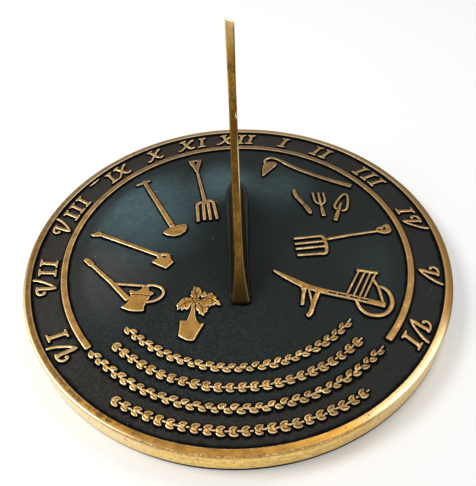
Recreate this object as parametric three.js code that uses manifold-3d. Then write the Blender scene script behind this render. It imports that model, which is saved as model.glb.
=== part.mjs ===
// Cast brass garden sundial. A shallow round dial plate has a raised rim, a dark recessed ground with raised
// numerals, garden tools and leaf garlands, and a bolted gnomon. Millimetres, +Z up, +Y towards noon.
import * as THREE from "three";
import { mergeVertices } from "three/addons/utils/BufferGeometryUtils.js";
import Module from "manifold-3d";

const wasm = await Module();
wasm.setup();

const degree = Math.PI / 180;

// Dial plate: one casting, a pan turned upside down with a recess in its face
const plateRadius = 127;
const plateHeight = 15;
const rimWidth = 4.6;
const recessDepth = 1.5;
const groundThickness = 0.5;
const floorThickness = 3.5;
const skirtThickness = 6.2;
const skirtFillet = 2.5;
const rimEdgeRound = 1.3;
const rimLipRound = 0.4;
const footOuterRound = 2.6;
const footInnerRound = 0.6;
const plateSegments = 80;
const fitGap = 0.3;

// Raised work on the ground, linished flush with the rim
const hourRingWidth = 3.7;
const hourRingStart = -41.2;
const hourRingEnd = 220.4;
const hourRingSteps = 64;
const motifMargin = 1.8;

// Roman numerals, tops outward, read clockwise
const numeralHeight = 11;
const numeralRingGap = 2.6;
const numeralRimGap = 1.2;
const numeralSlant = 11.5;
const stemWidth = 2.3;
const serifLength = 6.2;
const serifThickness = 1.3;
const hairlineWidth = 1.6;
const swashBulbRadius = 1.1;
const swashRiseShare = 1.2;
const linkThickness = 1;
const strokeEndRadius = 0.9;

// Leaf garlands in rows below the tools
const garlandPitch = 11;
const garlandRimGap = 4.8;
const garlandStemWidth = 1.1;
const leafReach = 3.1;
const leafSpacing = 6;
const leafLengthShare = 0.94;
const garlandRows = [
  { name: "garland_outer", from: 237, to: 303, paired: true },
  { name: "garland_third", from: 221.5, to: 316, paired: false },
  { name: "garland_second", from: 224.6, to: 314, paired: true },
  { name: "garland_inner", from: 222, to: 318, paired: false },
];

// Widths of the raised tools' parts
const shaftWidth = 2.8;
const wheelRimWidth = 2.5;
const tineWidth = 2.2;
const rodWidth = 1.8;
const wireWidth = 1.4;
const slotWidth = 0.7;
const beamWidth = 3.8;
const dimpleRadius = 0.6;

// Gnomon: a cast blade with a flared foot, in its own frame with +Y along the foot to the north
const gnomonEast = 1.3;
const gnomonTurn = -0.3;
const styleAngle = 40;
const gnomonHeight = 106.4;
const gnomonFrontHeight = 2.5;
const gnomonTipLand = 2.8;
const gnomonTipSlope = 20;
const footSouth = 41.5;
const footNorth = 64.5;
const footWidth = 10.7;
const footNorthWidth = 15;
const footFlareStart = 21.5;
const footEndLength = 17.5;
const footSideSteps = 6;
const footThickness = 1.6;
const footCornerRound = 1.8;
const bladeBackInset = 10;
const bladeThickness = 4.7;
const bladeFlare = 5.5;
const bladeFlareHeight = 10.7;
const bladeTipGrowth = 1.2;
const bladeTipShare = 0.715;
const bladeEdgeBevel = 0.7;

// Gnomon screws, driven from below with a spring washer under each head
const screwSouthInset = 17;
const screwNorthInset = 26.5;
const screwDiameter = 4;
const screwLength = 12;
const screwTipClearance = 1;
const screwHeadDiameter = 7.8;
const screwHeadHeight = 2.6;
const screwHeadRound = 0.9;
const screwSlotWidth = 1.2;
const screwSlotDepth = 1.1;
const screwTipBevel = 0.5;
const washerDiameter = 7.4;
const washerThickness = 0.9;
const turnedSegments = 24;
const cutOverrun = 2;

// Levels and radii that follow from the sizes above
const groundTop = plateHeight - recessDepth;
const recessFloor = groundTop - groundThickness;
const floorUnder = recessFloor - floorThickness;
const recessRadius = plateRadius - rimWidth;
const numeralBand = numeralRingGap + numeralHeight * swashRiseShare + numeralRimGap;
const hourRingOuter = recessRadius - numeralBand;
const hourRingInner = hourRingOuter - hourRingWidth;
const numeralBase = hourRingOuter + numeralRingGap;
const motifCircle = hourRingInner - motifMargin;
const garlandRadius = recessRadius - garlandRimGap - leafReach;
const screwHole = screwDiameter / 2 + fitGap;
const screwReach = screwLength - washerThickness - floorThickness - groundThickness;

const castBrass = new THREE.MeshStandardMaterial({ color: 0xb98a45, metalness: 0.85, roughness: 0.42 });
const polishedBrass = new THREE.MeshStandardMaterial({ color: 0xc9a062, metalness: 0.85, roughness: 0.36 });
const bladeBrass = new THREE.MeshStandardMaterial({ color: 0x94702f, metalness: 0.85, roughness: 0.42 });
const darkPatina = new THREE.MeshStandardMaterial({ color: 0x27302f, metalness: 0.3, roughness: 0.6 });
const zincSteel = new THREE.MeshStandardMaterial({ color: 0xa9abad, metalness: 0.9, roughness: 0.35 });

const sundial = new THREE.Group();
sundial.name = "sundial";

// Solids: to and from a closed mesh

function solidOf(geometry) {
  const bare = geometry.clone();
  bare.deleteAttribute("normal");
  bare.deleteAttribute("uv");
  const merged = mergeVertices(bare);
  const corners = merged.index.array;
  const kept = [];
  for (let i = 0; i < corners.length; i += 3) {
    const [a, b, c] = [corners[i], corners[i + 1], corners[i + 2]];
    if (a !== b && b !== c && c !== a) kept.push(a, b, c);
  }
  const vertProperties = new Float32Array(merged.attributes.position.array);
  return new wasm.Manifold(new wasm.Mesh({ numProp: 3, vertProperties, triVerts: new Uint32Array(kept) }));
}

function geometryOf(solid) {
  const { vertProperties, triVerts } = solid.getMesh();
  const geometry = new THREE.BufferGeometry();
  geometry.setAttribute("position", new THREE.BufferAttribute(vertProperties, 3));
  geometry.setIndex(new THREE.BufferAttribute(triVerts, 1));
  geometry.computeVertexNormals();
  return geometry;
}

function addMesh(parent, name, solid, material) {
  const mesh = new THREE.Mesh(geometryOf(solid), material);
  mesh.name = name;
  parent.add(mesh);
  return mesh;
}

// A profile of radius and height points, turned about +Z
function turned(profile, segments) {
  return solidOf(new THREE.LatheGeometry(profile, segments).rotateX(Math.PI / 2));
}

function drill(radius, bottom, top) {
  const bore = new THREE.CylinderGeometry(radius, radius, top - bottom, turnedSegments);
  return solidOf(bore.rotateX(Math.PI / 2).translate(0, 0, (top + bottom) / 2));
}

function arcPoints(centreX, centreY, radius, from, to, steps) {
  const points = [];
  for (let i = 0; i <= steps; i += 1) {
    const angle = (from + ((to - from) * i) / steps) * degree;
    points.push(new THREE.Vector2(centreX + radius * Math.cos(angle), centreY + radius * Math.sin(angle)));
  }
  return points;
}

// Outlines: flat shapes that stand up from the ground as raised work

function raised(shape) {
  const depth = recessDepth;
  const prism = new THREE.ExtrudeGeometry(shape, { depth, bevelEnabled: false, curveSegments: 6 });
  return solidOf(prism.translate(0, 0, groundTop));
}

function joined(shapes) {
  return shapes.map(raised).reduce((whole, next) => whole.add(next));
}

// Points given as shares of the circle that holds the tools
function onField(shares) {
  return shares.map(([x, y]) => new THREE.Vector2(x * motifCircle, y * motifCircle));
}

function smooth(points, stepsEach = 3) {
  return new THREE.SplineCurve(points).getPoints((points.length - 1) * stepsEach);
}

function widthAt(widths, share) {
  const place = share * (widths.length - 1);
  const index = Math.min(Math.floor(place), widths.length - 2);
  return THREE.MathUtils.lerp(widths[index], widths[index + 1], place - index);
}

// A band of metal along a line, with its widths spread evenly from end to end
function stroke(points, ...widths) {
  const spread = widths.length > 1 ? widths : [widths[0], widths[0]];
  const last = points.length - 1;
  const left = [];
  const right = [];
  points.forEach((point, i) => {
    const before = points[Math.max(i - 1, 0)];
    const after = points[Math.min(i + 1, last)];
    const along = new THREE.Vector2().subVectors(after, before).normalize();
    const half = widthAt(spread, i / last) / 2;
    const side = new THREE.Vector2(-along.y, along.x).multiplyScalar(half);
    left.push(point.clone().add(side));
    right.unshift(point.clone().sub(side));
  });
  return new THREE.Shape(left.concat(right));
}

function disc(centre, radius) {
  return new THREE.Shape(arcPoints(centre.x, centre.y, radius, 0, 330, 11));
}

// Dial plate, ground and hour ring

// Where the gnomon's screws pass through the plate, in the part's frame
function screwPlaces() {
  return [screwSouthInset - footSouth, footNorth - screwNorthInset].map((along) =>
    new THREE.Vector2(0, along).rotateAround(new THREE.Vector2(), -gnomonTurn * degree)
      .add(new THREE.Vector2(gnomonEast, 0)));
}

function drilledForScrews(solid) {
  return screwPlaces().reduce((rest, place) => {
    const hole = drill(screwHole, floorUnder - cutOverrun, groundTop + cutOverrun);
    return rest.subtract(hole.translate([place.x, place.y, 0]));
  }, solid);
}

function makePlate() {
  const skirtInner = plateRadius - skirtThickness;
  const outerRound = Math.min(footOuterRound, (skirtThickness - footInnerRound) / 2);
  const profile = [
    new THREE.Vector2(0, floorUnder),
    ...arcPoints(skirtInner - skirtFillet, floorUnder - skirtFillet, skirtFillet, 90, 0, 2),
    ...arcPoints(skirtInner + footInnerRound, footInnerRound, footInnerRound, 180, 270, 1),
    ...arcPoints(plateRadius - outerRound, outerRound, outerRound, 270, 360, 3),
    ...arcPoints(plateRadius - rimEdgeRound, plateHeight - rimEdgeRound, rimEdgeRound, 0, 90, 3),
    ...arcPoints(recessRadius + rimLipRound, plateHeight - rimLipRound, rimLipRound, 90, 180, 1),
    new THREE.Vector2(recessRadius, recessFloor),
    new THREE.Vector2(0, recessFloor),
  ];
  addMesh(sundial, "dial_plate", drilledForScrews(turned(profile, plateSegments)), castBrass);
}

function makeGround() {
  const radius = recessRadius - fitGap;
  const profile = [
    new THREE.Vector2(0, recessFloor),
    new THREE.Vector2(radius, recessFloor),
    new THREE.Vector2(radius, groundTop),
    new THREE.Vector2(0, groundTop),
  ];
  addMesh(sundial, "dial_ground", drilledForScrews(turned(profile, plateSegments)), darkPatina);
}

function makeHourRing() {
  const outer = arcPoints(0, 0, hourRingOuter, hourRingStart, hourRingEnd, hourRingSteps);
  const inner = arcPoints(0, 0, hourRingInner, hourRingEnd, hourRingStart, hourRingSteps);
  addMesh(sundial, "hour_ring", raised(new THREE.Shape(outer.concat(inner))), polishedBrass);
}

// Numerals: letters drawn as shares of the numeral height, x clockwise and y outward from each letter's foot

const swashShares = [[-0.23, 0.62], [-0.25, 0.8], [-0.1, 0.97], [0.12, 1.0], [0.3, 0.98]];
const swashDownShares = [[0.22, 0.96], [0.12, 0.5], [0.02, 0.02]];
const swashUpShares = [[0.02, 0.03], [0.26, 0.22], [0.5, 0.5], [0.74, 0.84], [0.88, 1.16]];
const swashBulbShare = [-0.2, 0.62];
const crossDownShares = [[-0.2, 0.99], [-0.06, 0.6], [0.08, 0.14], [0.2, 0.05], [0.44, 0.1]];
const crossUpShares = [[-0.7, -0.02], [-0.43, 0.09], [-0.16, 0.36], [0.16, 0.7], [0.5, 0.94]];
const crossSerifShares = [[-0.36, 0.88], [0, 1.07]];
const exitShares = { I: 0, V: 0.84, X: 0.42 };
const entryShares = { I: 0, V: -0.1, X: -0.56 };

// Each letter's bearing, and whether it is linked to the next one at the top or the bottom
const hourNumerals = [
  { name: "numeral_vi_morning", letters: [["V", 218], ["I", 211.1]], links: ["top"] },
  { name: "numeral_vii", letters: [["V", 193.8], ["I", 186.95], ["I", 183.25]], links: ["top", "top"] },
  {
    name: "numeral_viii",
    letters: [["V", 169], ["I", 161.7], ["I", 158.1], ["I", 154.5]],
    links: ["top", "bottom", "bottom"],
  },
  { name: "numeral_ix", letters: [["I", 140], ["X", 135]], links: ["bottom"] },
  { name: "numeral_x", letters: [["X", 120.8]], links: [] },
  { name: "numeral_xi", letters: [["X", 107.9], ["I", 102.1]], links: ["bottom"] },
  { name: "numeral_xii", letters: [["X", 92.6], ["I", 87], ["I", 83.4]], links: ["bottom", "bottom"] },
  { name: "numeral_i", letters: [["I", 70.5]], links: [] },
  { name: "numeral_ii", letters: [["I", 57.4], ["I", 53.6]], links: ["top"] },
  { name: "numeral_iii", letters: [["I", 38.5], ["I", 34.5], ["I", 30.7]], links: ["top", "top"] },
  { name: "numeral_iv", letters: [["I", 14.4], ["V", 10.2]], links: ["top"] },
  { name: "numeral_v", letters: [["V", -11.3]], links: [] },
  { name: "numeral_vi_evening", letters: [["V", -31.2], ["I", -37.5]], links: ["top"] },
];

// A letter's local point, stood on the numeral circle at its bearing
function onLetter(bearing, x, y) {
  const outward = new THREE.Vector2(Math.cos(bearing * degree), Math.sin(bearing * degree));
  const clockwise = new THREE.Vector2(outward.y, -outward.x);
  return outward.multiplyScalar(numeralBase + y).add(clockwise.multiplyScalar(x));
}

function letterLine(bearing, shares) {
  return shares.map(([x, y]) => onLetter(bearing, x * numeralHeight, y * numeralHeight));
}

function straightLetter(bearing) {
  const lean = Math.tan(numeralSlant * degree);
  const slanted = (x, y) => onLetter(bearing, x + (y - numeralHeight / 2) * lean, y);
  const serifTop = numeralHeight - serifThickness;
  const half = [
    [serifLength / 2, 0],
    [serifLength / 2, serifThickness],
    [stemWidth / 2, serifThickness],
    [stemWidth / 2, serifTop],
    [serifLength / 2, serifTop],
    [serifLength / 2, numeralHeight],
  ];
  const mirrored = half.map(([x, y]) => [-x, y]).reverse();
  return [new THREE.Shape(half.concat(mirrored).map(([x, y]) => slanted(x, y)))];
}

function swashLetter(bearing) {
  const [bulb] = letterLine(bearing, [swashBulbShare]);
  const rise = smooth(letterLine(bearing, swashUpShares), 3);
  return [
    stroke(smooth(letterLine(bearing, swashShares), 3), hairlineWidth),
    stroke(letterLine(bearing, swashDownShares), stemWidth, stemWidth, hairlineWidth),
    stroke(rise, hairlineWidth),
    disc(rise[rise.length - 1], strokeEndRadius),
    disc(bulb, swashBulbRadius),
  ];
}

function crossLetter(bearing) {
  const rise = smooth(letterLine(bearing, crossUpShares), 3);
  return [
    stroke(smooth(letterLine(bearing, crossDownShares), 3), stemWidth, stemWidth, hairlineWidth),
    stroke(rise, hairlineWidth),
    stroke(letterLine(bearing, crossSerifShares), serifThickness),
    disc(rise[rise.length - 1], swashBulbRadius),
  ];
}

const letterShapes = { I: straightLetter, V: swashLetter, X: crossLetter };

// The serif that runs from one letter of a numeral to the next
function letterLink([letter, bearing], [nextLetter, nextBearing], edge) {
  const lean = Math.tan(numeralSlant * degree) * (numeralHeight / 2);
  const shift = edge === "top" ? lean : -lean;
  const y = edge === "top" ? numeralHeight - serifThickness / 2 : serifThickness / 2;
  const exit = letter === "I" ? shift : exitShares[letter] * numeralHeight;
  const entry = nextLetter === "I" ? shift : entryShares[nextLetter] * numeralHeight;
  return stroke([onLetter(bearing, exit, y), onLetter(nextBearing, entry, y)], linkThickness);
}

function makeNumerals() {
  for (const { name, letters, links } of hourNumerals) {
    const shapes = letters.flatMap(([letter, bearing]) => letterShapes[letter](bearing));
    links.forEach((edge, i) => shapes.push(letterLink(letters[i], letters[i + 1], edge)));
    addMesh(sundial, name, joined(shapes), polishedBrass);
  }
}

// Garlands: a stem along an arc, with leaves to both sides

// One leaf's edge on one side of the stem, as steps along the row and shares of the leaf's reach
const leafEdgeShares = [[0, 0], [0.24, 0.78], [1, 1], [0.72, 0.14]];

function leafSide(radius, from, to, side, paired) {
  const stemEdge = garlandStemWidth / 2;
  const sweep = (to - from) * degree;
  const count = Math.round((radius * sweep) / leafSpacing);
  const step = (to - from) / count;
  const points = [];
  for (let i = 0; i < count; i += 1) {
    const shift = paired || side > 0 ? 0 : 0.5;
    const last = i === count - 1;
    for (const [along, out] of leafEdgeShares) {
      const bearing = from + step * Math.min(i + (along * leafLengthShare) + (last ? 0 : shift), count);
      const reach = stemEdge + (leafReach - stemEdge) * out;
      points.push(new THREE.Vector2(1, 0).rotateAround(new THREE.Vector2(), bearing * degree)
        .multiplyScalar(radius + side * reach));
    }
  }
  return points;
}

function makeGarlands() {
  garlandRows.forEach(({ name, from, to, paired }, row) => {
    const radius = garlandRadius - row * garlandPitch;
    const outer = leafSide(radius, from, to, 1, paired);
    const inner = leafSide(radius, from, to, -1, paired);
    addMesh(sundial, name, raised(new THREE.Shape(outer.concat(inner.reverse()))), polishedBrass);
  });
}

// Garden tools and a potted plant, drawn as shares of the circle that holds them

function tool(name, shapes, cuts = []) {
  const whole = joined(shapes);
  const pierced = cuts.reduce((rest, cut) => {
    const deep = new THREE.ExtrudeGeometry(cut, { depth: recessDepth + 2 * cutOverrun, bevelEnabled: false });
    return rest.subtract(solidOf(deep.translate(0, 0, groundTop - cutOverrun)));
  }, whole);
  addMesh(sundial, name, pierced, polishedBrass);
}

function outline(shares) {
  return new THREE.Shape(onField(shares));
}

function bar(shares, ...widths) {
  return stroke(onField(shares), ...widths);
}

function bent(shares, ...widths) {
  return stroke(smooth(onField(shares)), ...widths);
}

function makeDiggingFork() {
  const gripShares = [
    [-0.332, 0.89], [-0.24, 0.903], [-0.236, 0.886], [-0.25, 0.8], [-0.254, 0.765], [-0.278, 0.765],
    [-0.292, 0.803], [-0.318, 0.85],
  ];
  const gripHoleShares = [[-0.296, 0.878], [-0.263, 0.882], [-0.275, 0.83]];
  const shoulderShares = [[-0.254, 0.4], [-0.246, 0.426], [-0.205, 0.444], [-0.165, 0.452], [-0.143, 0.43]];
  const tineShares = [
    [[-0.254, 0.42], [-0.24, 0.253]],
    [[-0.214, 0.435], [-0.199, 0.266]],
    [[-0.182, 0.44], [-0.16, 0.266]],
    [[-0.147, 0.44], [-0.117, 0.272]],
  ];
  tool("digging_fork", [
    outline(gripShares),
    bar([[-0.266, 0.78], [-0.197, 0.42]], rodWidth, shaftWidth),
    bent(shoulderShares, tineWidth),
    ...tineShares.map((line) => bar(line, tineWidth)),
  ], [outline(gripHoleShares)]);
}

function makeEdgingSpade() {
  const bladeShares = [
    [-0.463, 0.163], [-0.44, 0.192], [-0.41, 0.213], [-0.366, 0.228], [-0.322, 0.238], [-0.31, 0.222],
    [-0.311, 0.195], [-0.322, 0.165], [-0.348, 0.14], [-0.385, 0.128], [-0.425, 0.136], [-0.452, 0.15],
  ];
  tool("edging_spade", [
    bar([[-0.682, 0.634], [-0.59, 0.684]], rodWidth),
    bar([[-0.636, 0.68], [-0.405, 0.215]], shaftWidth, shaftWidth + slotWidth),
    outline(bladeShares),
  ]);
}

function makeDrawHoe() {
  const pommelShares = [
    [-0.925, 0.168], [-0.905, 0.152], [-0.87, 0.15], [-0.85, 0.155], [-0.855, 0.185], [-0.872, 0.197],
    [-0.893, 0.183],
  ];
  const bladeShares = [
    [-0.515, -0.084], [-0.498, -0.066], [-0.479, -0.054], [-0.485, -0.038], [-0.477, -0.018], [-0.458, -0.011],
    [-0.419, -0.013], [-0.404, -0.025], [-0.398, -0.058], [-0.378, -0.088], [-0.421, -0.139],
  ];
  const neckHoleShares = [[-0.454, -0.034], [-0.431, -0.036], [-0.431, -0.048], [-0.449, -0.048]];
  tool("draw_hoe", [
    outline(pommelShares),
    bar([[-0.868, 0.173], [-0.47, -0.028]], shaftWidth),
    outline(bladeShares),
  ], [outline(neckHoleShares)]);
}

function makeWateringCan() {
  const roseShares = [
    [-0.932, -0.046], [-0.91, -0.03], [-0.888, -0.042], [-0.858, -0.075], [-0.87, -0.1], [-0.887, -0.097],
  ];
  const bodyShares = [
    [-0.659, -0.413], [-0.631, -0.391], [-0.617, -0.364], [-0.609, -0.323], [-0.621, -0.312], [-0.62, -0.297],
    [-0.607, -0.288], [-0.591, -0.3], [-0.573, -0.301], [-0.553, -0.288], [-0.55, -0.27], [-0.537, -0.253],
    [-0.51, -0.274], [-0.505, -0.302], [-0.479, -0.315], [-0.478, -0.324], [-0.494, -0.338], [-0.516, -0.39],
    [-0.524, -0.414], [-0.522, -0.443], [-0.561, -0.445], [-0.607, -0.438],
  ];
  const handleShares = [
    [-0.524, -0.261], [-0.488, -0.261], [-0.448, -0.275], [-0.424, -0.304], [-0.426, -0.335], [-0.447, -0.361],
    [-0.474, -0.375], [-0.515, -0.382],
  ];
  tool("watering_can", [
    outline(roseShares),
    bar([[-0.878, -0.08], [-0.74, -0.222], [-0.62, -0.36]], tineWidth, shaftWidth, shaftWidth + slotWidth),
    bar([[-0.73, -0.238], [-0.538, -0.263]], rodWidth),
    outline(bodyShares),
    bent(handleShares, rodWidth),
  ]);
}

function makePottedPlant() {
  const potShares = [
    [-0.319, -0.506], [-0.311, -0.516], [-0.283, -0.517], [-0.271, -0.483], [-0.263, -0.45], [-0.258, -0.389],
    [-0.236, -0.39], [-0.238, -0.432], [-0.236, -0.477], [-0.226, -0.515], [-0.208, -0.542], [-0.182, -0.534],
    [-0.22, -0.608], [-0.236, -0.646], [-0.248, -0.649], [-0.275, -0.645], [-0.305, -0.628], [-0.324, -0.612],
    [-0.32, -0.565],
  ];
  const topLeafShares = [
    [-0.259, -0.363], [-0.273, -0.338], [-0.262, -0.337], [-0.268, -0.308], [-0.257, -0.315], [-0.248, -0.272],
    [-0.238, -0.291], [-0.224, -0.286], [-0.21, -0.3], [-0.203, -0.321], [-0.205, -0.341], [-0.22, -0.362],
    [-0.237, -0.37],
  ];
  const budShares = [
    [-0.212, -0.348], [-0.199, -0.329], [-0.186, -0.315], [-0.181, -0.329], [-0.171, -0.334], [-0.18, -0.362],
    [-0.202, -0.364],
  ];
  const rightLeafShares = [
    [-0.217, -0.383], [-0.193, -0.368], [-0.174, -0.351], [-0.168, -0.335], [-0.143, -0.329], [-0.137, -0.35],
    [-0.119, -0.358], [-0.12, -0.38], [-0.105, -0.387], [-0.094, -0.424], [-0.112, -0.42], [-0.123, -0.41],
    [-0.131, -0.422], [-0.148, -0.42], [-0.16, -0.434], [-0.168, -0.42], [-0.198, -0.419],
  ];
  const lowerLeafShares = [
    [-0.235, -0.409], [-0.217, -0.387], [-0.186, -0.388], [-0.17, -0.42], [-0.163, -0.444], [-0.171, -0.451],
    [-0.168, -0.466], [-0.183, -0.469], [-0.189, -0.498], [-0.202, -0.478], [-0.218, -0.476], [-0.22, -0.458],
    [-0.233, -0.444],
  ];
  const leftLeafShares = [
    [-0.255, -0.37], [-0.29, -0.357], [-0.315, -0.368], [-0.33, -0.39], [-0.348, -0.413], [-0.339, -0.423],
    [-0.339, -0.45], [-0.319, -0.433], [-0.314, -0.453], [-0.298, -0.436], [-0.281, -0.448], [-0.27, -0.43],
    [-0.251, -0.393],
  ];
  const knotShare = [-0.245, -0.38];
  const knotRadiusShare = 0.032;
  const leaves = [topLeafShares, budShares, rightLeafShares, lowerLeafShares, leftLeafShares];
  tool("potted_plant", [
    outline(potShares),
    disc(onField([knotShare])[0], knotRadiusShare * motifCircle),
    ...leaves.map(outline),
  ]);
}

function makeSwanNeckHoe() {
  const handleShares = [[0.797, 0.547], [0.7, 0.6], [0.6, 0.655], [0.5, 0.72], [0.42, 0.78], [0.35, 0.842]];
  const neckShares = [[0.365, 0.828], [0.32, 0.872], [0.275, 0.893], [0.237, 0.88], [0.222, 0.85], [0.232, 0.822]];
  const bladeShares = [
    [0.222, 0.838], [0.262, 0.845], [0.298, 0.842], [0.309, 0.822], [0.303, 0.798], [0.255, 0.746],
    [0.2, 0.683], [0.196, 0.7], [0.2, 0.76], [0.21, 0.81],
  ];
  tool("swan_neck_hoe", [
    bent(handleShares, beamWidth, shaftWidth, shaftWidth),
    bent(neckShares, tineWidth, rodWidth),
    outline(bladeShares),
  ]);
}

function makePruningKnife() {
  const knifeShares = [
    [0.393, 0.531], [0.393, 0.491], [0.404, 0.453], [0.427, 0.411], [0.447, 0.371], [0.456, 0.343],
    [0.467, 0.314], [0.48, 0.291], [0.492, 0.287], [0.501, 0.301], [0.495, 0.333], [0.479, 0.366],
    [0.459, 0.4], [0.443, 0.435], [0.427, 0.468], [0.42, 0.499], [0.416, 0.529], [0.405, 0.541],
  ];
  tool("pruning_knife", [outline(knifeShares)]);
}

function makeHandFork() {
  const prongShares = [
    [0.526, 0.496], [0.529, 0.446], [0.535, 0.404], [0.552, 0.385], [0.571, 0.379], [0.588, 0.388],
    [0.599, 0.413], [0.598, 0.452], [0.596, 0.492],
  ];
  tool("hand_fork", [
    bent(prongShares, rodWidth, wireWidth, rodWidth),
    bar([[0.563, 0.494], [0.567, 0.379], [0.572, 0.263]], rodWidth, rodWidth, shaftWidth),
  ]);
}

function makeHandTrowel() {
  const bladeShares = [
    [0.682, 0.32], [0.655, 0.335], [0.66, 0.37], [0.7, 0.435], [0.736, 0.469], [0.753, 0.45], [0.75, 0.405],
    [0.735, 0.34], [0.715, 0.31], [0.69, 0.308],
  ];
  tool("hand_trowel", [
    bent(bladeShares, rodWidth),
    bar([[0.703, 0.388], [0.68, 0.33], [0.638, 0.218]], wireWidth, tineWidth, shaftWidth),
  ]);
}

function makeGardenFork() {
  const gripShares = [
    [0.873, 0.118], [0.885, 0.138], [0.92, 0.153], [0.957, 0.174], [0.971, 0.162], [0.976, 0.11],
    [0.957, 0.089], [0.925, 0.083], [0.893, 0.095], [0.876, 0.103],
  ];
  const gripHoleShares = [[0.936, 0.15], [0.949, 0.122], [0.924, 0.12]];
  const dimpleShare = [0.9, 0.123];
  const backShares = [
    [0.51, 0.085], [0.534, 0.083], [0.545, 0.06], [0.552, 0.01], [0.547, -0.04], [0.534, -0.061], [0.51, -0.061],
  ];
  const tineShares = [
    [[0.53, 0.086], [0.357, 0.07]],
    [[0.548, 0.041], [0.358, 0.025]],
    [[0.552, -0.001], [0.36, -0.017]],
    [[0.53, -0.061], [0.365, -0.068]],
  ];
  tool("garden_fork", [
    outline(gripShares),
    bar([[0.885, 0.11], [0.7, 0.083], [0.55, 0.055]], rodWidth, tineWidth),
    bent(backShares, tineWidth),
    ...tineShares.map((line) => bar(line, rodWidth)),
  ], [outline(gripHoleShares), disc(onField([dimpleShare])[0], dimpleRadius)]);
}

function makeWheelbarrow() {
  const beamShares = [[0.212, -0.178], [0.3, -0.245], [0.4, -0.312], [0.52, -0.36], [0.65, -0.402], [0.814, -0.462]];
  const wheelShares = [
    [0.66, -0.405], [0.666, -0.46], [0.7, -0.512], [0.76, -0.528], [0.81, -0.512], [0.845, -0.47],
    [0.857, -0.42], [0.85, -0.37], [0.828, -0.34], [0.8, -0.328],
  ];
  const slatShares = [
    [[0.712, -0.208], [0.614, -0.378]],
    [[0.745, -0.218], [0.647, -0.392]],
    [[0.775, -0.226], [0.68, -0.4]],
    [[0.802, -0.236], [0.708, -0.402]],
  ];
  const slotShares = [
    [[0.517, -0.356], [0.55, -0.367]],
    [[0.568, -0.373], [0.601, -0.384]],
    [[0.634, -0.395], [0.664, -0.405]],
    [[0.686, -0.414], [0.716, -0.424]],
  ];
  tool("wheelbarrow", [
    bent(beamShares, wireWidth, beamWidth, beamWidth, beamWidth, beamWidth),
    bent(wheelShares, rodWidth, wheelRimWidth, wheelRimWidth, rodWidth),
    bar([[0.698, -0.2], [0.82, -0.232]], tineWidth),
    ...slatShares.map((line) => bar(line, wireWidth)),
    bar([[0.778, -0.262], [0.8, -0.335], [0.804, -0.45]], rodWidth),
    bar([[0.362, -0.285], [0.374, -0.366]], wireWidth),
    bar([[0.395, -0.31], [0.37, -0.366], [0.356, -0.441]], wireWidth, tineWidth, tineWidth),
    bar([[0.404, -0.31], [0.412, -0.43]], wireWidth),
    bent([[0.462, -0.34], [0.42, -0.43], [0.395, -0.496], [0.373, -0.513]], shaftWidth),
  ], slotShares.map((line) => bar(line, slotWidth)));
}

function makeTools() {
  makeDiggingFork();
  makeEdgingSpade();
  makeDrawHoe();
  makeWateringCan();
  makePottedPlant();
  makeSwanNeckHoe();
  makePruningKnife();
  makeHandFork();
  makeHandTrowel();
  makeGardenFork();
  makeWheelbarrow();
}

// Gnomon: level sections stacked up the blade, over a flat foot

const styleRise = Math.tan(styleAngle * degree);
const tipSouth = (gnomonHeight - gnomonFrontHeight) / styleRise - footSouth;
const tipNorth = tipSouth + gnomonTipLand;
const tipFall = Math.tan(gnomonTipSlope * degree);
const bladeNorth = footNorth - bladeBackInset;
const backBendShares = [[0.66, 0.36], [0.85, 0.7]];
const levelShares = [0, 0.024, 0.05, 0.085, 0.13, 0.19, 0.28, 0.4, 0.52, 0.64, 0.76, 0.88, 1];

// The swept back edge, from the foot up to the tip
const backCurve = new THREE.CubicBezierCurve(
  new THREE.Vector2(bladeNorth, 0),
  ...backBendShares.map(([y, z]) => new THREE.Vector2(y * bladeNorth, z * gnomonHeight)),
  new THREE.Vector2(tipNorth, gnomonHeight),
);

function backAt(height) {
  let low = 0;
  let high = 1;
  for (let i = 0; i < 30; i += 1) {
    const middle = (low + high) / 2;
    if (backCurve.getPoint(middle).y < height) low = middle;
    else high = middle;
  }
  return backCurve.getPoint(low).x;
}

// One level of the blade; the tip's own level falls towards the east
function bladeSection(height) {
  const south = Math.max(height - gnomonFrontHeight, 0) / styleRise - footSouth;
  const north = height < gnomonHeight ? backAt(height) : tipNorth;
  const flare = bladeFlare * Math.exp(-((height / bladeFlareHeight) ** 2));
  const growth = bladeTipGrowth * THREE.MathUtils.smoothstep(height / gnomonHeight, bladeTipShare, 1);
  const half = (bladeThickness + flare + growth) / 2;
  const flat = half - bladeEdgeBevel;
  const fall = height < gnomonHeight ? 0 : tipFall;
  return [
    [flat, south], [half, south + bladeEdgeBevel], [half, north - bladeEdgeBevel], [flat, north],
    [-flat, north], [-half, north - bladeEdgeBevel], [-half, south + bladeEdgeBevel], [-flat, south],
  ].map(([x, y]) => new THREE.Vector3(x, y, height - (half + x) * fall));
}

// A closed body through a stack of sections that all have as many points
function stacked(sections) {
  const count = sections[0].length;
  const points = sections.flat().flatMap((point) => point.toArray());
  const faces = [];
  for (let level = 0; level + 1 < sections.length; level += 1) {
    for (let i = 0; i < count; i += 1) {
      const next = (i + 1) % count;
      const [a, b] = [level * count + i, level * count + next];
      faces.push(a, b, b + count, a, b + count, a + count);
    }
  }
  const top = (sections.length - 1) * count;
  for (let i = 1; i + 1 < count; i += 1) {
    faces.push(0, i + 1, i);
    faces.push(top, top + i, top + i + 1);
  }
  const geometry = new THREE.BufferGeometry();
  geometry.setAttribute("position", new THREE.Float32BufferAttribute(points, 3));
  geometry.setIndex(faces);
  return solidOf(geometry);
}

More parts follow.
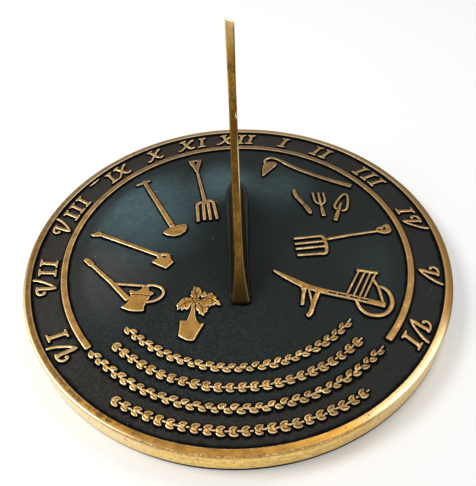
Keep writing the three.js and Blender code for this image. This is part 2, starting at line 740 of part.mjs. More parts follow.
// The foot widens from its square south end to its round north end
function footPlate() {
  const corner = footWidth / 2 - footCornerRound;
  const [neck, shoulder] = [footFlareStart - footSouth, footNorth - footEndLength];
  const side = [];
  for (let i = 0; i < footSideSteps; i += 1) {
    const y = THREE.MathUtils.lerp(neck, shoulder, i / footSideSteps);
    const widened = THREE.MathUtils.smoothstep(y, neck, shoulder);
    side.push(new THREE.Vector2(THREE.MathUtils.lerp(footWidth, footNorthWidth, widened) / 2, y));
  }
  const shape = new THREE.Shape([
    ...arcPoints(-corner, footCornerRound - footSouth, footCornerRound, 180, 270, 3),
    ...arcPoints(corner, footCornerRound - footSouth, footCornerRound, 270, 360, 3),
    ...side,
    ...new THREE.EllipseCurve(0, shoulder, footNorthWidth / 2, footEndLength, 0, Math.PI).getPoints(12),
    ...side.map(({ x, y }) => new THREE.Vector2(-x, y)).reverse(),
  ]);
  return solidOf(new THREE.ExtrudeGeometry(shape, { depth: footThickness, bevelEnabled: false }));
}

function makeGnomon(parent) {
  const blade = stacked(levelShares.map((share) => bladeSection(share * gnomonHeight)));
  const body = [screwSouthInset - footSouth, footNorth - screwNorthInset].reduce((rest, along) =>
    rest.subtract(drill(screwHole, -cutOverrun, screwReach + screwTipClearance).translate([0, along, 0])),
  footPlate().add(blade));
  addMesh(parent, "gnomon", body, bladeBrass);
}

// Screws and washers, hung from the plate's underside

function screwSolid() {
  const head = screwHeadDiameter / 2;
  const shank = screwDiameter / 2;
  const profile = [
    new THREE.Vector2(0, -screwHeadHeight),
    ...arcPoints(head - screwHeadRound, screwHeadRound - screwHeadHeight, screwHeadRound, 270, 360, 3),
    new THREE.Vector2(head, 0),
    new THREE.Vector2(shank, 0),
    new THREE.Vector2(shank, screwLength - screwTipBevel),
    new THREE.Vector2(shank - screwTipBevel, screwLength),
    new THREE.Vector2(0, screwLength),
  ];
  const slot = new THREE.BoxGeometry(screwHeadDiameter + 2 * cutOverrun, screwSlotWidth, 2 * screwSlotDepth);
  return turned(profile, turnedSegments).subtract(solidOf(slot.translate(0, 0, -screwHeadHeight)));
}

function washerSolid() {
  const outer = drill(washerDiameter / 2, 0, washerThickness);
  return outer.subtract(drill(screwHole, -cutOverrun, washerThickness + cutOverrun));
}

function makeScrews() {
  const headSeat = floorUnder - washerThickness;
  ["south", "north"].forEach((end, i) => {
    const { x, y } = screwPlaces()[i];
    addMesh(sundial, `gnomon_washer_${end}`, washerSolid().translate([x, y, headSeat]), zincSteel);
    addMesh(sundial, `gnomon_screw_${end}`, screwSolid().translate([x, y, headSeat]), zincSteel);
  });
}

makePlate();
makeGround();
makeHourRing();
makeNumerals();
makeTools();
makeGarlands();

const gnomonGroup = new THREE.Group();
gnomonGroup.position.set(gnomonEast, 0, groundTop);
gnomonGroup.rotation.z = -gnomonTurn * degree;
sundial.add(gnomonGroup);
makeGnomon(gnomonGroup);
makeScrews();

export default sundial;
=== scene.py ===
"""Cast brass garden sundial: the looks of its plate, raised work and gnomon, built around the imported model.

Lengths are in metres in the dial's own frame: +Z up, +Y along the noon line, and the origin under the middle
of the plate. A size in millimetres is written as a number times MM.
"""

from __future__ import annotations

import logging
import math
from dataclasses import dataclass, field
from enum import Enum
from typing import Callable, Iterable, Protocol, Sequence, Union

import bpy
import numpy as np
from mathutils import Matrix, Vector, noise
from mathutils.geometry import delaunay_2d_cdt
from mathutils.kdtree import KDTree


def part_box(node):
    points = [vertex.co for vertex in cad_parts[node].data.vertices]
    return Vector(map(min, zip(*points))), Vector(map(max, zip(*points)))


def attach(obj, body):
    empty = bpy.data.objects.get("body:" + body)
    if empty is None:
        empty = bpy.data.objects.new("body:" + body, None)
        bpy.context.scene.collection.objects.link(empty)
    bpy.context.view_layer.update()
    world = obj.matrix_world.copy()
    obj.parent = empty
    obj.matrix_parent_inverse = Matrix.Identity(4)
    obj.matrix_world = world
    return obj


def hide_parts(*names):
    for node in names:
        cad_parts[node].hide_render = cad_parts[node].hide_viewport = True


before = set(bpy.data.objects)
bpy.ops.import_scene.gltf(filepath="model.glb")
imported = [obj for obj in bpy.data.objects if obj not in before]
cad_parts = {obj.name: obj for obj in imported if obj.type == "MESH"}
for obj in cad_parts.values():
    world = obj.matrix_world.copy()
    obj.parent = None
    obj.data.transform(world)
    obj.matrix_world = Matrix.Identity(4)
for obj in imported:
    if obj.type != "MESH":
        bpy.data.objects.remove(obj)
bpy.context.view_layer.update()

MM = 0.001
ROOT = "root"

Points = np.ndarray
Loop = np.ndarray
Face = tuple[int, ...]
Colour = tuple[float, float, float]
Place = tuple[float, float, float]
Feed = Union["Signal", float, tuple]
# Where a change starts and ends, and then its results before and after, where they aren't 0 and 1
Fade = tuple[float, ...]

log = logging.getLogger("sundial")


# Shader graphs


def math_node(operation: str, swapped: bool = False) -> Callable[[Signal, Feed], Signal]:
    """Return a method that adds one Math node.

    Args:
        operation: The node's operation.
        swapped: Whether the signal is the node's second value instead of its first.

    Returns:
        The method.
    """

    def method(signal: Signal, other: Feed) -> Signal:
        """Return the node's result for the signal and another value."""
        values = {0: other, 1: signal} if swapped else {0: signal, 1: other}
        return signal.graph.signal("Math", values, operation=operation)

    return method


@dataclass(frozen=True)
class Signal:
    """A value in a graph; where it is a number, Python's operators add Math nodes."""

    graph: Graph
    socket: bpy.types.NodeSocket

    __add__ = math_node("ADD")
    __radd__ = math_node("ADD", swapped=True)
    __sub__ = math_node("SUBTRACT")
    __rsub__ = math_node("SUBTRACT", swapped=True)
    __mul__ = math_node("MULTIPLY")
    __rmul__ = math_node("MULTIPLY", swapped=True)
    __truediv__ = math_node("DIVIDE")
    above = math_node("MAXIMUM")
    below = math_node("MINIMUM")

    def shaken(self, waver: Signal, reach: Feed) -> Signal:
        """Return this, moved up and down over a reach by a noise from 0 to 1."""
        return self + (waver - 0.5) * reach


class Graph:
    """The node tree of a finish or of the world."""

    def __init__(self, owner: bpy.types.Material | bpy.types.World) -> None:
        """Start an empty tree.

        Args:
            owner: The material or world that it belongs to.
        """
        owner.use_nodes = True
        self.owner = owner
        self.tree = owner.node_tree
        self.tree.nodes.clear()

    def node(self, kind: str, inputs: dict | None = None, **settings: object) -> bpy.types.Node:
        """Add one node.

        Args:
            kind: The node's type, without the ShaderNode that all types start with.
            inputs: The values or links of its sockets, by name or number.
            **settings: Its properties, set before its sockets.

        Returns:
            The new node.
        """
        made = self.tree.nodes.new(f"ShaderNode{kind}")
        for name, value in settings.items():
            setattr(made, name, value)
        for key, value in (inputs or {}).items():
            self._feed(made.inputs[key], value)
        return made

    def _feed(self, socket: bpy.types.NodeSocket, value: Feed) -> None:
        """Set or link one input socket.

        Args:
            socket: The input socket.
            value: A signal, a number, a colour or a vector.
        """
        if isinstance(value, Signal):
            self.tree.links.new(value.socket, socket)
        else:
            socket.default_value = (*value, 1.0) if socket.type == "RGBA" else value

    def signal(self, kind: str, inputs: dict, output: int | str = 0, **settings: object) -> Signal:
        """Add a node and return one of its outputs."""
        return Signal(self, self.node(kind, inputs, **settings).outputs[output])

    def position(self) -> Signal:
        """Return the point on the surface, in the dial's frame."""
        return self.signal("TexCoord", {}, "Object")

    def parts(self, vector: Signal) -> tuple[Signal, ...]:
        """Return a vector's three numbers."""
        return tuple(Signal(self, socket) for socket in self.node("SeparateXYZ", {0: vector}).outputs)

    def joined(self, x: Feed, y: Feed, z: Feed) -> Signal:
        """Return the vector of three numbers."""
        return self.signal("CombineXYZ", {"X": x, "Y": y, "Z": z})

    def stretched(self, vector: Signal, scale: Place) -> Signal:
        """Return a vector with each of its numbers scaled."""
        return self.signal("VectorMath", {0: vector, 1: scale}, operation="MULTIPLY")

    def distance(self, vector: Signal, point: Place = (0.0, 0.0, 0.0)) -> Signal:
        """Return how far a vector lies from a point, or from the origin."""
        return self.signal("VectorMath", {0: vector, 1: point}, "Value", operation="DISTANCE")

    def marks(self, *names: str) -> Iterable[Signal]:
        """Return numbers that the mesh carries at each of its points."""
        return (self.signal("Attribute", {}, "Fac", attribute_name=name) for name in names)

    def seen(self) -> Signal:
        """Return 1 for what the camera sees, also mirrored or through glass, and 0 for what only lights."""
        path = self.node("LightPath")
        rays = (Signal(self, path.outputs[f"Is {kind} Ray"]) for kind in ("Camera", "Glossy", "Transmission"))
        camera, glossy, passing = rays
        return camera.above(glossy).above(passing)

    def speckle(self, vector: Signal, size: float, detail: float = 2.0, roughness: float = 0.5) -> Signal:
        """Return soft noise from 0 to 1, with blotches of a size, and finer layers in it."""
        inputs = {"Vector": vector, "Scale": 1 / size, "Detail": detail, "Roughness": roughness}
        return self.signal("TexNoise", inputs)

    def cells(self, vector: Signal, size: float) -> Signal:
        """Return the distance to the nearest of scattered points, as a share of their spacing."""
        return self.signal("TexVoronoi", {"Vector": vector, "Scale": 1 / size}, "Distance")

    def fade(self, value: Feed, low: Feed, high: Feed, start: float = 0.0, end: float = 1.0) -> Signal:
        """Return a number that goes smoothly from start to end while a value goes from low to high."""
        inputs = {"Value": value, "From Min": low, "From Max": high, "To Min": start, "To Max": end}
        return self.signal("MapRange", inputs, "Result", interpolation_type="SMOOTHSTEP")

    def blend(self, factor: Feed, first: Feed, second: Feed) -> Signal:
        """Return the first colour where factor is 0 and the second where it is 1."""
        return self.signal("Mix", {0: factor, 6: first, 7: second}, 2, data_type="RGBA")

    def bump(self, height: Signal, depth: float, strength: float) -> Signal:
        """Return a normal that follows a height from 0 to 1 over a depth."""
        return self.signal("Bump", {"Height": height, "Distance": depth, "Strength": strength}, "Normal")

    def finished(self, **inputs: Feed) -> bpy.types.Material:
        """End the graph in a surface shader.

        Args:
            **inputs: The shader's sockets, with underscores for the spaces in their names.

        Returns:
            The material.
        """
        named = {key.replace("_", " "): value for key, value in inputs.items()}
        self.node("OutputMaterial", {"Surface": self.signal("BsdfPrincipled", named)})
        return self.owner


# Finishes


@dataclass(frozen=True)
class ReliefBrass:
    """Raised cast brass, bright on top, its edges paler from wear and from a painted highlight that is
    strongest on edges facing south-west.
    """

    top: Colour = (0.43, 0.225, 0.055)
    dark_brass: Colour = (0.22, 0.115, 0.032)
    dulled: Colour = (0.12, 0.075, 0.042)
    polish_highlight: Colour = (0.9, 0.74, 0.42)
    patina: Colour = (0.0045, 0.004, 0.0035)
    blotch_size: float = 7 * MM
    mottle_size: float = 1.6 * MM
    grain_size: float = 0.8 * MM
    grain_depth: float = 0.05 * MM
    bared: Fade = (0.7, 0.88)
    filled: Fade = (0.25, 0.75)
    edge: Fade = (0.25, 1.0, 1.0, 0.0)
    ring: Fade = (107 * MM, 109 * MM, 1.0, 0.3)
    far: Fade = (10 * MM, 95 * MM)
    far_waver: float = 60 * MM
    east: Fade = (5 * MM, 75 * MM)
    east_waver: float = 30 * MM
    darkened: Fade = (0.42, 0.64)

    def material(self) -> bpy.types.Material:
        """Return the finish as a material; its meshes carry the marks rise, inset, cut and lead."""
        graph = Graph(bpy.data.materials.new("relief_brass"))
        place = graph.position()
        rise, inset, cut, highlight_side = graph.marks("rise", "inset", "cut", "highlight_side")
        grain = graph.speckle(place, self.grain_size, 3.0)
        blotches = graph.speckle(place, self.blotch_size, 5.0, 0.6)
        mottle = graph.speckle(place, self.mottle_size, 4.0, 0.65)
        bare = graph.fade(rise.shaken(grain, 0.2), *self.bared) * (1 - graph.fade(cut, *self.filled))
        edge = graph.fade(inset.shaken(grain, 0.4), *self.edge)
        x, y, _ = graph.parts(place)
        far = graph.fade(y.shaken(blotches, self.far_waver), *self.far)
        far = far * graph.fade(graph.distance(place), *self.ring)
        # Painted shade to the east: darker tops and a weaker edge highlight; the blotches and mottle are
        # tarnish
        east = graph.fade(x.shaken(blotches, self.east_waver), *self.east)
        tarnish_and_shade = blotches * 0.65 + mottle * 0.35 + east * 0.16
        tops = graph.blend(graph.fade(tarnish_and_shade, *self.darkened), self.top, self.dark_brass)
        tops = graph.blend(far * 0.65, tops, self.dulled)
        # Paler edges: wear, and a painted highlight that is strongest on edges facing south-west
        edge_wear_and_highlight = edge * (highlight_side * 0.8 + 0.2) * graph.fade(blotches, 0.25, 0.6, 1.0, 0.55)
        edge_wear_and_highlight = edge_wear_and_highlight * (1 - far * 0.35) * (1 - east * 0.55)
        metal = graph.blend(edge_wear_and_highlight, tops, self.polish_highlight)
        return graph.finished(
            Base_Color=graph.blend(bare, self.patina, metal),
            Metallic=bare,
            Specular_IOR_Level=0.04,
            Roughness=0.5 - bare * graph.fade(blotches, 0.3, 0.7, 0.2, 0.08),
            Normal=graph.bump(grain, self.grain_depth, 0.6),
        )


@dataclass(frozen=True)
class Stain:
    """A marked spot of the casting, by its bearing in degrees, radius, height and size."""

    bearing: float
    radius: float
    height: float
    size: float

    def middle(self) -> Place:
        """Return its middle."""
        turn = math.radians(self.bearing)
        return self.radius * math.cos(turn), self.radius * math.sin(turn), self.height


@dataclass(frozen=True)
class CastRimBrass:
    """The plate's own casting: a brushed rim, dark on the recess side, and rough as cast underneath; its rim
    carries painted highlights, glints and shade, and its foot painted shade.
    """

    band: Colour = (0.46, 0.237, 0.042)
    dark_brass: Colour = (0.25, 0.125, 0.028)
    dulled: Colour = (0.27, 0.19, 0.095)
    polish_highlight: Colour = (0.95, 0.8, 0.48)
    wall: Colour = (1.0, 0.71, 0.19)
    lit_wall: Colour = (1.0, 0.8, 0.4)
    patina: Colour = (0.0045, 0.004, 0.0035)
    stain_and_shade: Colour = (0.13, 0.07, 0.02)
    underside: Colour = (0.34, 0.23, 0.11)
    mean_radius: float = 125 * MM
    blotch_size: float = 11 * MM
    mottle_size: float = 2.2 * MM
    sand_size: float = 0.7 * MM
    sand_depth: float = 0.14 * MM
    streak_length: float = 9 * MM
    streak_width: float = 0.35 * MM
    glint_length: float = 1.7 * MM
    glint_width: float = 0.6 * MM
    pit_spacing: float = 3.4 * MM
    far: Fade = (-10 * MM, 75 * MM)
    left: Fade = (-25 * MM, -95 * MM)
    front: Fade = (-80 * MM, -112 * MM)
    foremost: Fade = (-108 * MM, -120 * MM)
    outer: Fade = (124.1 * MM, 126.3 * MM)
    left_shading: Fade = (-95 * MM, -45 * MM, 0.2, 0.55)
    right_shading: Fade = (45 * MM, 105 * MM)
    darkened: Fade = (0.4, 0.72)
    blotted: Fade = (0.46, 0.58)
    lip_highlight_east: Fade = (40 * MM, 95 * MM)
    edge_highlight: Fade = (125.9 * MM, 126.8 * MM)
    edge_highlight_south: Fade = (25 * MM, -50 * MM, 0.0, 0.8)
    highlight_middle: Place = (90 * MM, -90 * MM, 15 * MM)
    highlight_reach: float = 52 * MM
    shaded_east: Fade = (55 * MM, 100 * MM)
    shaded_north: Fade = (-75 * MM, -35 * MM)
    foot_shade: Fade = (5.5 * MM, 7 * MM)
    foot_shade_west: Fade = (-75 * MM, -15 * MM, 0.3, 1.0)
    pits: tuple[Stain, ...] = (
        Stain(-99.2, 127 * MM, 10.2 * MM, 0.9 * MM),
        Stain(-120.6, 124.4 * MM, 15 * MM, 0.8 * MM),
        Stain(-119.6, 124.0 * MM, 15 * MM, 0.6 * MM),
    )
    stains: tuple[Stain, ...] = (
        Stain(-125.4, 127 * MM, 9.5 * MM, 1.2 * MM),
        Stain(-122.6, 123.5 * MM, 15 * MM, 2.6 * MM),
        Stain(-115.4, 127 * MM, 10 * MM, 1.3 * MM),
        Stain(-111.4, 127 * MM, 11.5 * MM, 1.0 * MM),
    )

    def material(self) -> bpy.types.Material:
        """Return the finish as a material; its mesh carries the marks patina, polish, wall and under."""
        graph = Graph(bpy.data.materials.new("cast_rim_brass"))
        place = graph.position()
        dark, polish_sheen, wall, under = graph.marks("patina", "polish_sheen", "wall", "under")
        x, y, z = graph.parts(place)
        radius = graph.distance(place)
        turned = self._rounds(graph, place, self.streak_length, self.streak_width)
        streaks = graph.speckle(turned, 1.0, 3.0, 0.6)
        blotches = graph.speckle(place, self.blotch_size, 5.0, 0.6)
        sand = graph.speckle(place, self.sand_size, 4.0, 0.65)
        mottle = graph.speckle(place, self.mottle_size, 4.0, 0.65)
        far, front, foremost = (graph.fade(y, *span) for span in (self.far, self.front, self.foremost))
        left = graph.fade(x, *self.left)
        outer = graph.fade(radius, *self.outer)
        # The patina mark also carries painted shade along the foot of the wall, wider at the front
        covered_from = 0.72 - front * 0.42
        dark = graph.fade(dark, covered_from, covered_from + 0.2)
        pits = graph.fade(graph.cells(place, self.pit_spacing), 0.07, 0.13, 1.0, 0.0)
        pits = pits * graph.fade(blotches, 0.46, 0.56)
        pits = pits.above(self._spots(graph, place, sand, self.pits))

        # The band's tone: random tarnish, darker to the north, and painted shade to the west and the east
        tarnish_and_shade = blotches.shaken(streaks, 0.5).shaken(mottle, 0.25 + left * 0.8) + far * 0.15
        tarnish_and_shade = tarnish_and_shade + left * graph.fade(y, *self.left_shading) + graph.fade(x, *self.right_shading) * 0.8
        band = graph.blend(graph.fade(tarnish_and_shade, *self.darkened), self.band, self.dark_brass)
        band = graph.blend(far * 0.75, band, self.dulled)
        band = graph.blend(graph.fade(mottle, *self.blotted) * left * 0.75, band, self.stain_and_shade)
        # Painted light: the wall is paler to the west, where it reflects the lit floor
        sides = graph.blend(left * 0.8, self.wall, self.lit_wall)
        worked = graph.fade(streaks * 0.5 + mottle * 0.5, 0.42, 0.62, 0.0, 0.7)
        sides = graph.blend(worked * (1 - left * 0.9), sides, self.band)
        metal = graph.blend(wall, band, sides)

        # Painted glints along the front edge, with dark flecks between them
        dashes = self._rounds(graph, place, self.glint_length, self.glint_width)
        glint_and_fleck_zone = polish_sheen * foremost * graph.fade(blotches, 0.36, 0.5)
        glints = graph.fade(graph.cells(dashes, 1.0), 0.24, 0.4, 1.0, 0.0) * glint_and_fleck_zone * 1.25
        # A painted highlight on the inner lip to the east
        east = graph.fade(x, *self.lip_highlight_east) * (1 - outer)
        # Where along the rim the edge highlight is painted: most to the west and the north
        shares = (left * 0.35).above(far).above(east * 0.35).above(0.2)
        highlight_mark = polish_sheen * (graph.fade(streaks, 0.2, 0.7, 0.95, 0.6) * shares)
        # A painted highlight along the outer edge to the south-west
        edge_highlight = left * graph.fade(radius, *self.edge_highlight) * graph.fade(y, *self.edge_highlight_south)
        # A painted highlight on the band's outer part at the south-east
        away = graph.distance(place, self.highlight_middle)
        painted_highlight = graph.fade(away, 0.35 * self.highlight_reach, self.highlight_reach, 0.7, 0.0) * (1 - wall)
        painted_highlight = painted_highlight * (outer * 0.7 + 0.3) * graph.fade(streaks, 0.2, 0.7, 1.0, 0.7)
        highlight_mark = highlight_mark.above(glints).above(edge_highlight).above(painted_highlight)
        metal = graph.blend(highlight_mark, metal, self.polish_highlight)

        # Painted shade on the band to the east, plus dark flecks along the front edge
        shaded = graph.fade(x, *self.shaded_east) * graph.fade(y, *self.shaded_north) * (outer * 0.55 + 0.25)
        shaded = shaded.above(graph.fade(graph.speckle(dashes, 1.6), 0.44, 0.34) * glint_and_fleck_zone)
        metal = graph.blend(shaded, metal, self.stain_and_shade)
        marked = self._spots(graph, place, sand, self.stains) * graph.fade(blotches, 0.3, 0.6, 0.45, 0.85)
        metal = graph.blend(marked, metal, self.stain_and_shade)
        metal = graph.blend(under, metal, self.underside)
        # Away from the recess the patina mark is painted shade at the foot, weaker to the west
        dark = dark * graph.fade(z, *self.foot_shade).above(graph.fade(x, *self.foot_shade_west))
        covered = (dark + pits * 0.8).below(1.0)
        grain = streaks * (1 - under) * 0.35 + sand * (under * 0.75 + 0.25)
        return graph.finished(
            Base_Color=graph.blend(covered, metal, self.patina),
            Metallic=1 - covered,
            Specular_IOR_Level=0.04,
            Roughness=0.27 + under * 0.25 + (1 - polish_sheen) * streaks * 0.14 + dark * 0.2,
            Normal=graph.bump(grain - pits * 0.7, self.sand_depth, 0.45),
        )

    def _rounds(self, graph: Graph, place: Signal, length: float, width: float) -> Signal:
        """Return a point counted in marks that run round the rim.

        Args:
            graph: The material's graph.
            place: The point on the surface.
            length: The length of a mark, round the rim.
            width: Its width, across the rim and up it.

        Returns:
            The point, one apart from mark to mark.
        """
        x, y, z = graph.parts(place)
        bearing = graph.signal("Math", {0: y, 1: x}, operation="ARCTAN2")
        return graph.joined(bearing * (self.mean_radius / length), graph.distance(place) / width, z / width)

    def _spots(self, graph: Graph, place: Signal, ragged: Signal, spots: Sequence[Stain]) -> Signal:
        """Return how far each point lies in any of some spots.

        Args:
            graph: The material's graph.
            place: The point on the surface.
            ragged: The noise that makes the spots' edges uneven.
            spots: The spots.

        Returns:
            1 inside a spot and 0 away from all.
        """
        covered: Feed = 0.0
        for spot in spots:
            away = graph.distance(place, spot.middle()).shaken(ragged, spot.size)
            covered = graph.fade(away, 0.25 * spot.size, spot.size, 1.0, 0.0).above(covered)
        return covered


@dataclass(frozen=True)
class BladeBrass:
    """The gnomon's brass: brown tarnish, pale at the tip, darker towards the foot, with painted shade along
    its edges and a painted highlight on its tip and down its east edge.
    """

    fresh: Colour = (0.29, 0.16, 0.03)
    darkened: Colour = (0.095, 0.046, 0.006)
    pale: Colour = (0.41, 0.27, 0.095)
    foot: Colour = (0.032, 0.019, 0.0055)
    shaded: Colour = (0.075, 0.045, 0.012)
    highlight_mark: Colour = (0.9, 0.76, 0.46)
    patina: Colour = (0.02, 0.021, 0.02)
    clouded: Colour = (0.011, 0.018, 0.018)
    mottle_size: float = 5 * MM
    mottle_stretch: Place = (1.0, 0.45, 0.45)
    fine_size: float = 1.5 * MM
    grain_size: float = 0.6 * MM
    grain_depth: float = 0.06 * MM
    ageing: Fade = (0.5, 0.98, 0.92, 0.32)
    fresh_below: Fade = (0.46, 0.3, 0.0, 0.28)
    top: Fade = (0.86, 0.93)
    low: Fade = (3 * MM, 26 * MM, 1.0, 0.0)
    low_waver: float = 4 * MM
    foot_west: Fade = (1 * MM, -3 * MM)

    def material(self, ground: float, tip: float) -> bpy.types.Material:
        """Make the finish; its mesh carries the marks edge, worn and patina.

        Args:
            ground: The height of the dial's ground.
            tip: The height of the blade's tip.

        Returns:
            The material.
        """
        graph = Graph(bpy.data.materials.new("blade_brass"))
        place = graph.position()
        edge, highlight_mark, covered = graph.marks("edge", "highlight_mark", "patina")
        x, _, z = graph.parts(place)
        height = z - ground
        share = height / (tip - ground)
        mottle = graph.speckle(graph.stretched(place, self.mottle_stretch), self.mottle_size, 5.0, 0.62)
        fine = graph.speckle(place, self.fine_size, 3.0, 0.65)
        grain = graph.speckle(place, self.grain_size, 3.0)
        ageing = graph.fade(share, *self.ageing) - graph.fade(share, *self.fresh_below)
        ageing = ageing.shaken(mottle, 1.6).shaken(fine, 1.3)
        body = graph.blend(graph.fade(ageing, 0.0, 1.0), self.fresh, self.darkened)
        low = graph.fade(height.shaken(mottle, self.low_waver), *self.low)
        body = graph.blend(low, body, self.foot)
        top = graph.fade(share, *self.top) * graph.fade(mottle, 0.35, 0.55, 0.3, 0.9)
        body = graph.blend(top, body, self.pale)
        # Painted shade along the blade's edges
        body = graph.blend(edge * graph.fade(mottle, 0.3, 0.6, 0.35, 0.65), body, self.shaded)
        # A painted highlight down the east edge and on the tip
        body = graph.blend(highlight_mark * graph.fade(grain, 0.25, 0.5, 0.35, 1.0), body, self.highlight_mark)
        foot = graph.blend(graph.fade(x, *self.foot_west), self.patina, self.clouded)
        return graph.finished(
            Base_Color=graph.blend(covered, body, foot),
            Metallic=1 - covered,
            Specular_IOR_Level=0.1,
            Roughness=graph.fade(mottle, 0.3, 0.7, 0.36, 0.48) + low * 0.06,
            Normal=graph.bump(mottle * 0.6 + grain * 0.4, self.grain_depth, 0.7),
        )


@dataclass(frozen=True)
class SheenPatch:
    """A pale patch painted on the patina for a sheen of reflected light: its middle, how far it reaches, how
    strong it is and its colour.
    """

    x: float
    y: float
    reach: float
    strength: float
    tone: Colour = (0.07, 0.115, 0.126)


@dataclass(frozen=True)
class DarkPatina:
    """The recess: a satin blue-black patina, browner towards the rim, with a painted teal sheen on the
    morning side, a painted grey sheen to the west, and painted shade, partly patina, beside the raised work.
    """

    slate: Colour = (0.0148, 0.019, 0.0177)
    sheen_grey: Colour = (0.056, 0.05, 0.042)
    umber: Colour = (0.03, 0.0225, 0.0185)
    sand: Colour = (0.085, 0.083, 0.073)
    bloom: Colour = (0.062, 0.078, 0.08)
    line: Colour = (0.002, 0.0018, 0.0016)
    speck: Colour = (0.42, 0.44, 0.4)
    sheen_patches: tuple[SheenPatch, ...] = (
        SheenPatch(-84 * MM, -16 * MM, 50 * MM, 0.85, (0.064, 0.066, 0.064)),
        SheenPatch(-64 * MM, 40 * MM, 60 * MM, 0.92),
        SheenPatch(-9 * MM, 64 * MM, 29 * MM, 0.85),
        SheenPatch(30 * MM, 54 * MM, 36 * MM, 0.38),
        SheenPatch(34 * MM, 10 * MM, 46 * MM, 0.1),
        SheenPatch(92 * MM, -18 * MM, 46 * MM, 0.13),
    )
    sheen_edge: Fade = (88 * MM, 97 * MM, 1.0, 0.25)
    sheen_waver: float = 34 / 62
    drift_size: float = 34 * MM
    fleck_size: float = 4 * MM
    mottle_size: float = 1.4 * MM
    grain_size: float = 0.9 * MM
    grain_depth: float = 0.07 * MM
    speck_spacing: float = 7.5 * MM
    browned: Fade = (100 * MM, 108 * MM)
    browned_waver: float = 12 * MM
    browned_north: Fade = (-20 * MM, 60 * MM, 0.6, 0.95)
    browned_east: Fade = (10 * MM, 90 * MM, 1.0, 0.4)
    sheen_west: Fade = (-72 * MM, -104 * MM)
    west_sheen_waver: float = 30 * MM
    west_sheen_south: Fade = (70 * MM, 20 * MM)
    bloom_west: Fade = (-40 * MM, 60 * MM, 1.0, 0.3)
    bloom_south: Fade = (10 * MM, -70 * MM, 0.2, 1.0)
    sand_south: Fade = (-20 * MM, -85 * MM, 0.3, 1.0)

    def material(self) -> bpy.types.Material:
        """Return the finish as a material; its mesh carries the mark halo."""
        graph = Graph(bpy.data.materials.new("dark_patina"))
        place = graph.position()
        (halo,) = graph.marks("halo")
        x, y, _ = graph.parts(place)
        flat = graph.joined(x, y, 0.0)
        spread = graph.distance(flat)
        drift = graph.speckle(place, self.drift_size, 5.0, 0.6)
        fleck = graph.speckle(place, self.fleck_size, 4.0, 0.6)
        mottle = graph.speckle(place, self.mottle_size, 5.0, 0.7)
        grain = graph.speckle(place, self.grain_size, 3.0, 0.6)
        browned = graph.fade(spread.shaken(drift, self.browned_waver), *self.browned)
        browned = browned * graph.fade(y, *self.browned_north) * graph.fade(x, *self.browned_east)
        colour = graph.blend(browned, self.slate, self.umber)
        # Pale patches painted for a sheen of reflected light, fading out near the ring
        inner = graph.fade(spread, *self.sheen_edge) * graph.fade(fleck, 0.2, 0.8, 0.7, 1.15)
        for cloud in self.sheen_patches:
            away = graph.distance(flat, (cloud.x, cloud.y, 0.0)).shaken(drift, self.sheen_waver * cloud.reach)
            here = graph.fade(away, 0.1 * cloud.reach, cloud.reach, cloud.strength, 0.0)
            colour = graph.blend((here * inner).below(1.0), colour, cloud.tone)
        # A painted grey sheen to the west
        west_sheen = graph.fade(x.shaken(drift, self.west_sheen_waver), *self.sheen_west)
        west_sheen = west_sheen * graph.fade(fleck, 0.2, 0.7, 0.1, 0.36) * graph.fade(y, *self.west_sheen_south)
        colour = graph.blend(west_sheen, colour, self.sheen_grey)
        corner = graph.fade(x, *self.bloom_west) * graph.fade(y, *self.bloom_south)
        colour = graph.blend(graph.fade(mottle, 0.42, 0.7) * corner * 0.4, colour, self.bloom)
        sandy = graph.fade(grain, 0.54, 0.72) * graph.fade(y, *self.sand_south)
        colour = graph.blend(sandy * 0.45, colour, self.sand)
        # Painted shade beside the raised work and the wall, partly the dark patina that gathers there
        colour = graph.blend(graph.fade(halo, 0.0, 0.7), colour, self.line)
        specks = graph.fade(graph.cells(place, self.speck_spacing), 0.03, 0.055, 1.0, 0.0)
        specks = specks * graph.fade(fleck, 0.5, 0.56) * (1 - halo)
        colour = graph.blend(specks * 0.8, colour, self.speck)
        return graph.finished(
            Base_Color=colour,
            Metallic=0.0,
            Specular_IOR_Level=0.04,
            Roughness=graph.fade(fleck, 0.25, 0.75, 0.4, 0.52) + halo * 0.25,
            Normal=graph.bump(grain * 0.6 + fleck * 0.4, self.grain_depth, 0.6),
        )


@dataclass(frozen=True)
class ZincSteel:
    """Zinc-plated steel of the screws and washers, dulled in handling."""

    bright: Colour = (0.6, 0.61, 0.62)
    dull: Colour = (0.36, 0.37, 0.39)
    cloud_size: float = 1.6 * MM
    grain_size: float = 0.5 * MM
    grain_depth: float = 0.02 * MM

    def material(self) -> bpy.types.Material:
        """Return the finish as a material."""
        graph = Graph(bpy.data.materials.new("zinc_steel"))
        place = graph.position()
        cloud = graph.speckle(place, self.cloud_size, 4.0)
        return graph.finished(
            Base_Color=graph.blend(graph.fade(cloud, 0.35, 0.7), self.bright, self.dull),
            Metallic=1.0,
            Roughness=graph.fade(cloud, 0.3, 0.7, 0.28, 0.46),
            Normal=graph.bump(graph.speckle(place, self.grain_size, 3.0), self.grain_depth, 0.5),
        )


@dataclass(frozen=True)
class PaleFloor:
    """The plain white floor that the dial stands on, a little paler to the camera and in the metal."""

    colour: Colour = (0.83, 0.83, 0.825)
    glow: Colour = (0.15, 0.15, 0.15)

    def material(self) -> bpy.types.Material:
        """Return the finish as a material."""
        graph = Graph(bpy.data.materials.new("pale_floor"))
        return graph.finished(
            Base_Color=self.colour,
            Roughness=0.8,
            Specular_IOR_Level=0.1,
            Emission_Color=graph.blend(graph.seen(), (0.0, 0.0, 0.0), self.glow),
            Emission_Strength=1.0,
        )


# Meshes

# How far apart rows of staggered points lie, as a share of the points' own spacing
ROW_PITCH = 0.87
# The smallest length that is divided by
TINY = 1e-12


